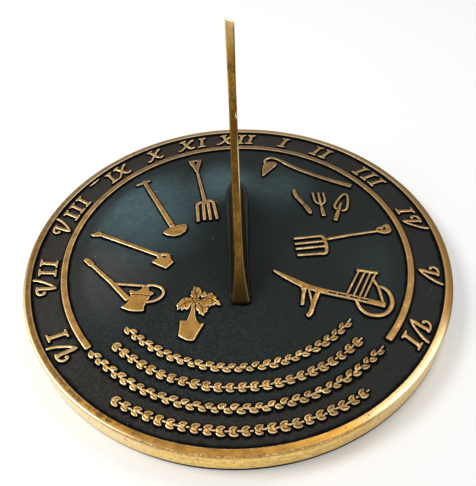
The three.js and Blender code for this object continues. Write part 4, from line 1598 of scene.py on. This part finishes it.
@dataclass
class Numerals:
    """The hour numerals, drawn as shares of their height: x clockwise and y outward from a letter's foot."""

    relief: Relief
    height: float = 11 * MM
    ring_gap: float = 2.6 * MM
    slant: float = 11.5
    stem: float = 2.3 * MM
    serif_length: float = 6.0 * MM
    serif: float = 1.25 * MM
    hairline: float = 1.55 * MM
    bulb: float = 1.15 * MM
    bracket: float = 0.5 * MM
    step: float = 0.16 * MM
    rounding: float = 0.2 * MM
    edge_round: float = 0.34 * MM
    spacing: float = 0.3 * MM
    inner_spacing: float = 0.5 * MM

    def build(self) -> None:
        """Make every numeral."""
        drawn = {Letter.ONE: self._one, Letter.FIVE: self._five, Letter.TEN: self._ten}
        figure = {"edge_round": self.edge_round, "spacing": self.spacing, "inner_spacing": self.inner_spacing}
        for hour, letters, bearings in HOURS:
            shapes = [drawn[Letter(letter)](bearing) for letter, bearing in zip(letters, bearings)]
            metal = ReliefField(sum(shapes, []), self.step).soften(self.rounding)
            self.relief.add(f"hour_{hour}", metal, [f"numeral_{hour}"], **figure)

    def _stood(self, bearing: float, points: Sequence[Sequence[float]]) -> Points:
        """Stand points, given as shares of the height, on the numeral circle.

        Args:
            bearing: Where the letter stands, in degrees.
            points: The points.

        Returns:
            The points on the dial.
        """
        turn = math.radians(bearing)
        out = np.array([math.cos(turn), math.sin(turn)])
        clockwise = np.array([out[1], -out[0]])
        shares = np.array(points, float) * self.height
        base = self.relief.sizes.ring_outer + self.ring_gap
        return (base + shares[:, 1:]) * out + shares[:, :1] * clockwise

    def _one(self, bearing: float) -> list[Shape]:
        """Return a slanted stem with a slab at each end and a little bracket in each corner.

        Args:
            bearing: Where the letter stands, in degrees.

        Returns:
            Its shapes.
        """
        sizes = (self.stem / 2, self.serif_length / 2, self.serif, self.bracket)
        stem, slab, serif, bracket = (size / self.height for size in sizes)
        lean = math.tan(math.radians(self.slant))
        half = [(slab, 0), (slab * 0.97, serif), (stem + bracket, serif), (stem, serif + 1.6 * bracket)]
        right = half + [(x, 1 - y) for x, y in half[::-1]]
        around = right + [(-x, y) for x, y in right[::-1]]
        return [Patch((self._stood(bearing, [(x + (y - 0.5) * lean, y) for x, y in around]),))]

    def _strokes(self, bearing: float, *strokes: tuple[Sequence, Sequence[float]]) -> list[Shape]:
        """Return the curved strokes of a letter, each given by its line and its widths."""
        return [Band(smooth_line(self._stood(bearing, line)), widths) for line, widths in strokes]

    def _five(self, bearing: float) -> list[Shape]:
        """Return a swash letter: a hooked head, a heavy fall, a light rise and a curl.

        Args:
            bearing: Where the letter stands, in degrees.

        Returns:
            Its shapes.
        """
        stem, thin = self.stem, self.hairline
        return self._strokes(
            bearing,
            ([(-0.21, 0.6), (-0.25, 0.78), (-0.12, 0.95), (0.1, 1.0), (0.3, 0.97)], (thin * 0.9, thin, thin)),
            ([(0.2, 0.95), (0.14, 0.6), (0.06, 0.25), (0.02, 0.03)], (stem, stem, stem, thin)),
            ([(0.03, 0.04), (0.26, 0.22), (0.5, 0.5), (0.74, 0.84), (0.87, 1.13)], (thin, thin, stem * 0.8)),
            ([(-0.24, 0.7), (-0.19, 0.6), (-0.13, 0.61)], (thin, self.bulb * 1.8)),
        )

    def _ten(self, bearing: float) -> list[Shape]:
        """Return a swash letter: a heavy and a light stroke that cross, a serif and a curl.

        Args:
            bearing: Where the letter stands, in degrees.

        Returns:
            Its shapes.
        """
        stem, thin = self.stem, self.hairline
        heavy, light = (stem * 0.9, stem, stem, thin, thin * 0.8), (thin * 0.8, thin, thin)
        return self._strokes(
            bearing,
            ([(-0.2, 0.97), (-0.07, 0.6), (0.08, 0.2), (0.22, 0.07), (0.42, 0.13)], heavy),
            ([(-0.66, 0.03), (-0.43, 0.1), (-0.16, 0.37), (0.16, 0.7), (0.44, 0.92)], light),
            ([(-0.36, 0.9), (-0.18, 0.97), (0.0, 1.03)], (self.serif,)),
            ([(0.4, 0.9), (0.5, 0.93)], (self.bulb * 1.7,)),
        )


# Each tool's pressed lines: their points, as shares of the field's circle, and their width and depth in mm
TOOL_GROOVES = {
    "digging_fork": [([(-0.205, 0.43), (-0.188, 0.436)], 0.4, 0.35)],
    "edging_spade": [
        ([(-0.636, 0.655), (-0.6, 0.675)], 0.35, 0.3),
        ([(-0.425, 0.232), (-0.396, 0.246)], 0.4, 0.35),
        ([(-0.44, 0.185), (-0.39, 0.2), (-0.325, 0.222)], 0.35, 0.2),
    ],
    "draw_hoe": [
        ([(-0.48, -0.019), (-0.467, -0.039)], 0.35, 0.3),
        ([(-0.85, 0.15), (-0.842, 0.173)], 0.4, 0.3),
    ],
    "watering_can": [
        ([(-0.603, -0.323), (-0.553, -0.328), (-0.495, -0.34)], 0.5, 0.45),
        ([(-0.616, -0.31), (-0.609, -0.307)], 0.4, 0.35),
        ([(-0.552, -0.279), (-0.531, -0.274), (-0.508, -0.281)], 0.3, 0.2),
    ],
    "potted_plant": [
        ([(-0.26, -0.358), (-0.237, -0.369), (-0.218, -0.363)], 0.4, 0.45),
        ([(-0.234, -0.359), (-0.236, -0.331), (-0.246, -0.292)], 0.35, 0.4),
        ([(-0.236, -0.335), (-0.254, -0.326)], 0.28, 0.3),
        ([(-0.236, -0.339), (-0.219, -0.312)], 0.28, 0.3),
        ([(-0.215, -0.382), (-0.197, -0.369), (-0.174, -0.36)], 0.5, 0.6),
        ([(-0.177, -0.377), (-0.143, -0.378), (-0.105, -0.415)], 0.35, 0.4),
        ([(-0.149, -0.376), (-0.143, -0.347)], 0.28, 0.3),
        ([(-0.143, -0.382), (-0.145, -0.413)], 0.28, 0.3),
        ([(-0.217, -0.399), (-0.2, -0.434), (-0.191, -0.483)], 0.35, 0.4),
        ([(-0.204, -0.422), (-0.176, -0.435)], 0.28, 0.3),
        ([(-0.264, -0.385), (-0.298, -0.398), (-0.334, -0.428)], 0.35, 0.4),
        ([(-0.295, -0.395), (-0.29, -0.43)], 0.28, 0.3),
        ([(-0.289, -0.395), (-0.303, -0.367)], 0.28, 0.3),
        ([(-0.255, -0.368), (-0.246, -0.386), (-0.227, -0.383)], 0.35, 0.45),
        ([(-0.254, -0.401), (-0.242, -0.392), (-0.235, -0.409)], 0.35, 0.45),
    ],
    "swan_neck_hoe": [([(0.226, 0.83), (0.262, 0.828), (0.298, 0.83)], 0.4, 0.25)],
    "pruning_knife": [
        ([(0.447, 0.371), (0.462, 0.4)], 0.28, 0.3),
        ([(0.455, 0.364), (0.469, 0.39)], 0.28, 0.3),
    ],
    "hand_fork": [
        ([(0.56, 0.364), (0.578, 0.367)], 0.35, 0.3),
        ([(0.56, 0.346), (0.581, 0.347)], 0.35, 0.3),
    ],
    "hand_trowel": [([(0.671, 0.318), (0.693, 0.307)], 0.35, 0.3)],
    "garden_fork": [([(0.56, 0.045), (0.566, 0.068)], 0.35, 0.3)],
    "wheelbarrow": [],
}


@dataclass
class GardenTools:
    """The garden tools and the potted plant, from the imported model's outlines, with their own details."""

    relief: Relief
    rounding: float = 0.2 * MM

    def build(self) -> None:
        """Make every figure."""
        for node, given in TOOL_GROOVES.items():
            metal = ReliefField([Patch(tuple(self._outline(node)))]).soften(self.rounding)
            grooves = [self._groove(*groove) for groove in given]
            self.relief.add(f"{node}_figure", metal, [node], grooves=grooves)

    def _outline(self, node: str) -> list[Loop]:
        """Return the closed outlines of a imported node's top.

        Args:
            node: The node's name.

        Returns:
            The outlines.
        """
        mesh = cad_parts[node].data
        places = [tuple(round(value / MM, 3) for value in vertex.co) for vertex in mesh.vertices]
        top = self.relief.sizes.top / MM - 0.01
        steps = set()
        for face in mesh.polygons:
            corners = [places[corner][:2] for corner in face.vertices]
            if all(places[corner][2] > top for corner in face.vertices):
                steps |= set(zip(corners, corners[1:] + corners[:1]))
        follows = {start: end for start, end in steps if (end, start) not in steps}
        return [np.array(chain) * MM for chain in chains(follows)]

    def _groove(self, line: Sequence[Sequence[float]], width: float, depth: float) -> Groove:
        """Return a groove from shares of the field's circle, and a width and depth in millimetres."""
        return Groove(smooth_line(np.array(line) * self.relief.sizes.field_radius, 4), width * MM, depth * MM)


@dataclass(frozen=True)
class Leaf:
    """One leaf, which leans forward along its row, on the row's outer side, 1, or its inner side, -1."""

    radius: float
    bearing: float
    side: int
    size: float
    length: float = 5.4 * MM
    width: float = 2.9 * MM
    stem_gap: float = 0.1725 * MM
    lean: float = 38.0
    lean_fall: float = 16.0
    vein_width: float = 0.26 * MM
    vein_depth: float = 0.3 * MM

    def at(self, share: float, across: float) -> tuple[float, float]:
        """Return a point of the leaf.

        Args:
            share: Its share of the leaf's length.
            across: Its distance from the midrib.

        Returns:
            The point on the dial.
        """
        lean = math.radians(self.lean - self.lean_fall * share)
        along, across = self.length * self.size * share, across * self.size
        turn = self.bearing + (along * math.cos(lean) - across * math.sin(lean)) / self.radius
        out = along * math.sin(lean) + across * math.cos(lean) + self.stem_gap
        radius = self.radius + self.side * out
        return radius * math.cos(turn), radius * math.sin(turn)

    def outline(self) -> Patch:
        """Return the leaf's outline."""
        share = np.linspace(0, 1, 9)
        half = 0.5 * self.width * np.sin(math.pi * share**0.8) ** 0.85
        edge = [*zip(share, half), *zip(share[-2:0:-1], -half[-2:0:-1])]
        return Patch((np.array([self.at(*place) for place in edge]),))

    def vein(self) -> Groove:
        """Return the midrib pressed into the leaf."""
        line = np.array([self.at(share, 0.0) for share in (0.22, 0.5, 0.82)])
        return Groove(line, self.vein_width, self.vein_depth)


@dataclass(frozen=True)
class Row:
    """One garland: its node, its ends in degrees, and whether its leaves stand in pairs."""

    node: str
    start: float
    end: float
    paired: bool


@dataclass
class Garlands:
    """Rows of leaves on stems that follow the rim."""

    relief: Relief
    rim_gap: float = 4.8 * MM
    reach: float = 3.1 * MM
    pitch: float = 11 * MM
    leaf_spacing: float = 6 * MM
    stem_width: float = 1.15 * MM
    stem_sway: float = 0.18 * MM
    rounding: float = 0.2 * MM
    edge_round: float = 0.36 * MM
    rows: tuple[Row, ...] = (
        Row("garland_outer", 237, 303, True),
        Row("garland_third", 221.5, 316, False),
        Row("garland_second", 224.6, 314, True),
        Row("garland_inner", 222, 318, False),
    )

    def build(self) -> None:
        """Make every garland."""
        for place, row in enumerate(self.rows):
            radius = self.relief.sizes.recess_radius - self.rim_gap - self.reach - place * self.pitch
            leaves = self._leaves(row, radius)
            shapes = [*(leaf.outline() for leaf in leaves), self._stem(row, radius)]
            veins = [leaf.vein() for leaf in leaves]
            metal = ReliefField(shapes).soften(self.rounding)
            figure = {"grooves": veins, "edge_round": self.edge_round}
            self.relief.add(f"{row.node}_leaves", metal, [row.node], **figure)

    def _stem(self, row: Row, radius: float) -> Band:
        """Return a row's stem, which sways between its leaves.

        Args:
            row: The row.
            radius: Its radius.

        Returns:
            The stem.
        """
        turns = np.linspace(math.radians(row.start), math.radians(row.end), 90)
        sway = self.stem_sway * np.sin(turns * radius / self.leaf_spacing * math.pi)
        return Band(on_circle(turns) * (radius + sway)[:, None], (self.stem_width,))

    def _leaves(self, row: Row, radius: float) -> list[Leaf]:
        """Return a row's leaves, in pairs or in turn on both sides.

        Args:
            row: The row.
            radius: Its radius.

        Returns:
            The leaves.
        """
        start, sweep = math.radians(row.start), math.radians(row.end - row.start)
        count = round(radius * sweep / self.leaf_spacing)
        leaves = []
        for place in range(count):
            for side in (1, -1):
                shift = 0.0 if row.paired or side > 0 else 0.5
                if place < count - 1 or not shift:
                    bearing = start + sweep / count * (place + shift)
                    leaves.append(Leaf(radius, bearing, side, 0.94 + 0.06 * math.sin(5.0 * place + side)))
        return leaves


@dataclass
class CastingFlash:
    """A small stray ridge that the mould left between two numerals."""

    relief: Relief
    start: float = 147.4
    end: float = 143.0
    radius: float = 119.8 * MM
    width: float = 1.5 * MM
    height_share: float = 0.8
    step: float = 0.12 * MM
    rounding: float = 0.15 * MM
    edge_round: float = 0.2 * MM

    def build(self) -> None:
        """Make the ridge."""
        line = self.radius * on_circle(np.radians(np.linspace(self.start, self.end, 7)))
        ridge = Band(line, (0.5 * self.width, self.width, 0.6 * self.width))
        metal = ReliefField([ridge], self.step).soften(self.rounding)
        sizes = self.relief.sizes
        top = sizes.ground + self.height_share * (sizes.top - sizes.ground)
        self.relief.add("casting_flash", metal, [], top=top, edge_round=self.edge_round)


# Gnomon

# How strongly a highlight is painted along the blade's right edge, by height
HIGHLIGHT_HEIGHTS = np.array([38, 46, 58, 63, 68.6, 69.6, 71, 72]) * MM
HIGHLIGHT_SHARES = np.array([0.12, 0.8, 0.8, 0.1, 0, 1, 1, 0])
# Points of an outline: across its front and round its end
FRONT_POINTS = 7
END_POINTS = 9


@dataclass
class Gnomon:
    """The cast blade and its foot, in their own frame: y along the foot to the north, z from the ground."""

    sizes: DialSizes
    east: float = 1.3 * MM
    turn: float = 0.3
    style_angle: float = 40.0
    front_height: float = 2.5 * MM
    front_swell: float = 0.05 * MM
    tip_land: float = 2.8 * MM
    tip_slope: float = 20.0
    foot_south: float = 41.5 * MM
    foot_north: float = 64.5 * MM
    foot_width: float = 10.7 * MM
    foot_north_width: float = 15 * MM
    foot_flare_start: float = 21.5 * MM
    foot_end: float = 17.5 * MM
    foot_thickness: float = 1.6 * MM
    foot_corner: float = 1.8 * MM
    foot_margin: float = 0.4 * MM
    patina_start: float = 0.9 * MM
    patina_reach: float = 3 * MM
    back_inset: float = 10 * MM
    back_gap: float = 0.04 * MM
    back_bends: tuple[tuple[float, float], ...] = ((0.66, 0.36), (0.85, 0.7))
    thickness: float = 4.62 * MM
    flare: float = 5.5 * MM
    flare_height: float = 10.7 * MM
    tip_growth: float = 0.9 * MM
    tip_share: float = 0.715
    edge_round: float = 0.75 * MM
    fillet: float = 0.5 * MM
    nick_height: float = 70.3 * MM
    nick_depth: float = 0.9 * MM
    nick_size: float = 0.9 * MM
    nick_reach: float = 1.3 * MM
    nick_margin: float = 3 * MM
    flare_top: float = 14 * MM
    swell: float = 0.05 * MM
    swell_size: float = 13 * MM
    side_steps: int = 30

    def build(self) -> Loop:
        """Make the gnomon.

        Returns:
            The line along which the foot's east side meets the ground.
        """
        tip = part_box("gnomon")[1].z
        rings, marks = self._rings(tip - self.sizes.ground)
        points = np.vstack(rings)
        blade = points[:, 2] > self.foot_thickness
        points[:, 0] += self.swell * ripple(points, self.swell_size, 6.0) * blade
        faces = ring_faces(len(rings), len(rings[0]))
        joined = {name: np.concatenate(values) for name, values in marks.items()}
        finish = BladeBrass().material(self.sizes.ground, tip)
        Piece("gnomon_casting", self._placed(points), faces, joined).place(finish, "blade_brass", ["gnomon"])
        line = self._placed(rings[0])[:, :2]
        return line[line[:, 0] > self.east]

    def _placed(self, points: Points) -> Points:
        """Return points of the gnomon's own frame in the dial's.

        Args:
            points: The points.

        Returns:
            The same points in the dial's frame.
        """
        turn = math.radians(self.turn)
        x, y, z = points.T
        east = self.east + x * math.cos(turn) - y * math.sin(turn)
        return np.column_stack([east, x * math.sin(turn) + y * math.cos(turn), z + self.sizes.ground])

    def _outline(self, front: list, corner: Place, side: list, end: list) -> Points:
        """Join an outline that is the same on both sides, counter-clockwise from its south-west corner.

        Args:
            front: The points across its front.
            corner: The middle and radius of its south-east corner.
            side: The points of its east side.
            end: The points round its north end.

        Returns:
            The outline.
        """
        x, y, radius = corner
        east = [(x + across, y + along) for _, across, along in arc(radius, -67.5, -22.5, 3)] + side
        return np.array(front + east + end + [(-x, y) for x, y in east[::-1]])

    def _foot_outline(self, inset: float) -> Points:
        """Return the foot's outline.

        Args:
            inset: How much smaller it is on every side.

        Returns:
            The outline, with as many points as the blade's.
        """
        half, corner = self.foot_width / 2, self.foot_corner
        end_half, shoulder = self.foot_north_width / 2, self.foot_north - self.foot_end
        across = np.linspace(corner - half, half - corner, FRONT_POINTS)
        front = [(x, inset - self.foot_south) for x in across]
        side = []
        for y in np.linspace(corner - self.foot_south, shoulder, self.side_steps):
            widened = eased(y, self.foot_flare_start - self.foot_south, shoulder)
            side.append((half + (end_half - half) * widened - inset, y))
        turns = on_circle(np.linspace(0, math.pi, END_POINTS + 2)[1:-1])
        end = [((end_half - inset) * x, shoulder + (self.foot_end - inset) * y) for x, y in turns]
        return self._outline(front, (half - corner, corner - self.foot_south, corner - inset), side, end)

    def _blade_outline(self, height: float, total: float, grow: float = 0.0) -> Points:
        """Return the blade's outline at a height.

        Args:
            height: The height above the ground.
            total: The tip's height.
            grow: How much larger the outline is on every side.

        Returns:
            The outline.
        """
        rise = math.tan(math.radians(self.style_angle))
        tip_south = (total - self.front_height) / rise - self.foot_south
        south = max(height - self.front_height, 0) / rise - self.foot_south - grow
        north = self._back(height, total, tip_south + self.tip_land) + grow
        flare = self.flare * math.exp(-((height / self.flare_height) ** 2))
        growth = self.tip_growth * eased(height / total, self.tip_share, 1)
        half = (self.thickness + flare + growth) / 2 + grow
        near = self.edge_round + grow
        front = [
            (x, south - self.front_swell * (1 - (x / half) ** 2))
            for x in np.linspace(near - half, half - near, FRONT_POINTS)
        ]
        side = [(half, y) for y in np.linspace(south + near, north - near, self.side_steps)]
        end = []
        for x in (half - self.back_gap) * np.linspace(1, -1, END_POINTS + 2)[1:-1]:
            end.append((x, north - near + math.sqrt(max(near**2 - max(abs(x) - half + near, 0) ** 2, 0))))
        outline = self._outline(front, (half - near, south + near, near), side, end)
        bite = self.nick_depth * math.exp(-(((height - self.nick_height) / self.nick_size) ** 2))
        away = np.linalg.norm(outline - [half, south], axis=1)
        return outline + bite * np.exp(-((away / self.nick_reach) ** 2))[:, None] * np.array([-0.8, 0.6])

    def _back(self, height: float, total: float, tip_north: float) -> float:
        """Return how far north the swept back edge lies at a height.

        Args:
            height: The height above the ground.
            total: The tip's height.
            tip_north: How far north the edge lies at the tip.

        Returns:
            Its place.
        """
        foot = self.foot_north - self.back_inset
        bends = [(along * foot, up * total) for along, up in self.back_bends]
        knots = np.array([(foot, 0), *bends, (tip_north, total)])
        share = np.linspace(0, 1, 200)[:, None]
        weights = ((1 - share) ** 3, 3 * share * (1 - share) ** 2, 3 * share**2 * (1 - share), share**3)
        along, up = sum(knot * weight for knot, weight in zip(knots, weights)).T
        return float(np.interp(height, up, along))

    def _levels(self, total: float) -> np.ndarray:
        """Space the blade's outlines, closer together in its flare and beside its nick.

        Args:
            total: The tip's height.

        Returns:
            Their heights.
        """
        low, high = self.nick_height - self.nick_margin, self.nick_height + self.nick_margin
        return np.concatenate([
            np.arange(self.foot_thickness + self.fillet + 0.8 * MM, self.flare_top, 0.9 * MM),
            np.arange(self.flare_top, low, 1.6 * MM),
            np.arange(low, high, 0.45 * MM),
            np.arange(high, total - 2 * self.edge_round, 1.6 * MM),
        ])

    def _rings(self, total: float) -> tuple[list[Points], dict[str, list[np.ndarray]]]:
        """Return the outlines from the ground to the tip.

        Args:
            total: The tip's height.

        Returns:
            The outlines with their heights, and their marks.
        """
        rings: list[Points] = []
        marks: dict[str, list[np.ndarray]] = {"edge": [], "highlight_mark": [], "patina": []}

        def add(outline: Points, heights: Points | float, edge: float, patina: float, highlight_mark: float = 0):
            """Add an outline.

            Args:
                outline: Its points in plan.
                heights: Their heights.
                edge: The mark of its corners.
                patina: The mark of its sides.
                highlight_mark: The painted highlight over the whole outline, or 0 where only its east edge
                    gets one.
            """
            count = len(outline)
            rings.append(np.column_stack([outline, np.broadcast_to(heights, count)]))
            corner = np.zeros(count)
            corner[FRONT_POINTS - 1 : FRONT_POINTS + 3] = 1
            corner[[0, -3, -2, -1]] = 0.6
            line = np.full(count, float(highlight_mark))
            # A painted highlight on the east edge, by height
            painted_highlight = np.interp(np.mean(heights), HIGHLIGHT_HEIGHTS, HIGHLIGHT_SHARES) * edge
            line[FRONT_POINTS : FRONT_POINTS + 2] += 0 if highlight_mark else painted_highlight
            behind = outline[:, 1] + self.foot_south - self.patina_start
            marks["edge"].append(corner * edge)
            marks["highlight_mark"].append(line)
            marks["patina"].append(patina * np.clip(behind / self.patina_reach, 0, 1))

        thick, margin = self.foot_thickness, self.foot_margin
        add(self._foot_outline(0.1 * MM), -0.1 * MM, 0.0, 1.0)
        foot = ((0, 0.3, 0.2, 1), (0, 0.75, 0.3, 1), (0.16, 0.93, 0.4, 0.9), (0.4, 1, 0.4, 1))
        for inset, share, edge, patina in foot:
            add(self._foot_outline(inset * MM), share * thick, edge, patina)
        for turn, up, inward in arc(self.fillet, 0, 90, 4):
            height = thick + (self.fillet - up)
            outline = self._blade_outline(height, total, self.fillet - inward)
            outline[:, 0] = np.clip(outline[:, 0], margin - self.foot_width / 2, self.foot_width / 2 - margin)
            outline[:, 1] = np.maximum(outline[:, 1], 0.02 * MM - self.foot_south)
            add(outline, height, 0.4, 0.9 - turn / 110)
        for height in self._levels(total).tolist():
            add(self._blade_outline(height, total), height, 1.0, 0.0)
        fall = math.tan(math.radians(self.tip_slope))
        # The tip's top gets a painted highlight
        for inset, drop, highlight_mark in ((0.0, 0.6, 0.25), (0.12, 0.25, 0.8), (0.45, 0.02, 1.0)):
            outline = self._blade_outline(total, total, -inset * MM)
            heights = total - drop * MM - (outline[:, 0] - outline[:, 0].min()) * fall
            add(outline, heights, 1.0, 0.0, highlight_mark)
        return rings, marks


@dataclass
class GnomonScrews:
    """The screws that hold the gnomon, under the plate, each on a split spring washer."""

    bevel: float = 0.12 * MM
    bevel_angle: float = 40.0
    washer_width: float = 1.35 * MM
    split: float = 9.0
    rise: float = 0.12 * MM
    steps: int = 60

    def build(self) -> None:
        """Dress the screws and make the washers."""
        finish = ZincSteel().material()
        for end in ("south", "north"):
            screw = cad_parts[f"gnomon_screw_{end}"]
            screw.data.materials.clear()
            screw.data.materials.append(finish)
            softened = screw.modifiers.new("softened", "BEVEL")
            softened.width = self.bevel
            softened.segments = 2
            softened.limit_method = "ANGLE"
            softened.angle_limit = math.radians(self.bevel_angle)
            log.info("%s: dressed", screw.name)
            self._washer(end, finish)

    def _washer(self, end: str, finish: bpy.types.Material) -> None:
        """Make one spring washer.

        Args:
            end: Which of the two screws it belongs to.
            finish: Its material.
        """
        node = f"gnomon_washer_{end}"
        low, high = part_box(node)
        middle, outer, thick = (low + high) / 2, (high.x - low.x) / 2, high.z - low.z - self.rise
        inner = outer - self.washer_width
        turns = np.radians(np.linspace(self.split, 360 - self.split, self.steps))
        lifts = np.linspace(low.z, low.z + self.rise, self.steps)
        points = []
        for (x, y), lift in zip(on_circle(turns), lifts):
            for radius, z in ((inner, 0), (outer, 0), (outer, thick), (inner, thick)):
                points.append((middle.x + radius * x, middle.y + radius * y, lift + z))
        piece = Piece(f"spring_washer_{end}", np.array(points), ring_faces(self.steps, 4))
        piece.place(finish, "zinc_steel", [node]).data.shade_flat()


# Studio


@dataclass(frozen=True)
class Lamp:
    """A square soft lamp that faces the dial, with the length of its sides and its power in watts."""

    name: str
    place: Place
    size: float
    power: float

    def hang(self) -> None:
        """Put the lamp in the scene."""
        data = bpy.data.lights.new(self.name, "AREA")
        data.size, data.energy = self.size, self.power
        facing = Vector(self.place).to_track_quat("Z", "Y").to_matrix().to_4x4()
        stand(self.name, data).matrix_world = Matrix.Translation(self.place) @ facing


@dataclass
class Studio:
    """The floor, the soft lights and the camera, which isn't part of the dial."""

    image_width: float = 476.0
    image_height: float = 486.0
    focal_pixels: float = 523.516
    sensor: float = 36.0
    camera_place: Place = (2.518 * MM, -217.509 * MM, 236.113 * MM)
    pitch: float = 46.561
    yaw: float = -0.3654
    roll: float = -2.3293
    floor_half: float = 2.5
    sky_strength: float = 0.58
    lamps: tuple[Lamp, ...] = (
        Lamp("key", (-0.755, 0.01, 0.92), 0.4, 6.5),
        Lamp("second", (0.34, 0.36, 0.87), 0.28, 1.55),
    )

    def build(self, ground: float, finish: PaleFloor) -> None:
        """Set the studio up.

        Args:
            ground: The height of the dial's ground, from which the camera's height is measured.
            finish: The floor's finish.
        """
        self._camera(ground)
        self._floor(finish)
        self._sky()
        for lamp in self.lamps:
            lamp.hang()

    def _camera(self, ground: float) -> None:
        """Make the camera at the photograph's view.

        Args:
            ground: The height of the dial's ground.
        """
        pitch, yaw, roll = (math.radians(angle) for angle in (self.pitch, self.yaw, self.roll))
        ahead = Vector((math.cos(pitch) * math.sin(yaw), math.cos(pitch) * math.cos(yaw), -math.sin(pitch)))
        level = Vector((math.cos(yaw), -math.sin(yaw), 0))
        over = level.cross(ahead)
        right = math.cos(roll) * level + math.sin(roll) * over
        up = math.cos(roll) * over - math.sin(roll) * level
        data = bpy.data.cameras.new("camera")
        data.sensor_width = self.sensor
        data.lens = self.focal_pixels / max(self.image_width, self.image_height) * self.sensor
        data.clip_start = 0.01
        camera = stand("camera", data)
        place = Vector(self.camera_place) + Vector((0, 0, ground))
        camera.matrix_world = Matrix.Translation(place) @ Matrix((right, up, -ahead)).transposed().to_4x4()
        bpy.context.scene.camera = camera

    def _floor(self, finish: PaleFloor) -> None:
        """Make the floor.

        Args:
            finish: Its finish.
        """
        half = self.floor_half
        mesh = bpy.data.meshes.new("floor")
        corners = [(-half, -half, 0.0), (half, -half, 0.0), (half, half, 0.0), (-half, half, 0.0)]
        mesh.from_pydata(corners, [], [(0, 1, 2, 3)])
        mesh.materials.append(finish.material())
        floor = stand("floor", mesh)

    def _sky(self) -> None:
        """Light the scene evenly from all round, and show plain white to the camera and in the metal."""
        world = bpy.data.worlds.new("studio")
        bpy.context.scene.world = world
        graph = Graph(world)
        strength = graph.fade(graph.seen(), 0.0, 1.0, self.sky_strength)
        background = graph.signal("Background", {"Color": (1.0, 1.0, 1.0), "Strength": strength})
        graph.node("OutputWorld", {"Surface": background})


def main() -> None:
    """Build the dial in order and set up the studio."""
    logging.basicConfig(level=logging.INFO, format="%(name)s: %(message)s")
    sizes = DialSizes.read()
    relief = Relief(sizes, ReliefBrass().material())
    for kind in (HourRing, Numerals, GardenTools, Garlands, CastingFlash):
        kind(relief).build()
    gnomon_line = Gnomon(sizes).build()
    DialPlate(sizes).build()
    DialGround(sizes, [*relief.foot_lines, gnomon_line]).build()
    GnomonScrews().build()
    Studio().build(sizes.ground, PaleFloor())
    bpy.context.scene.view_settings.view_transform = "Standard"


if __name__ == "__main__":
    main()
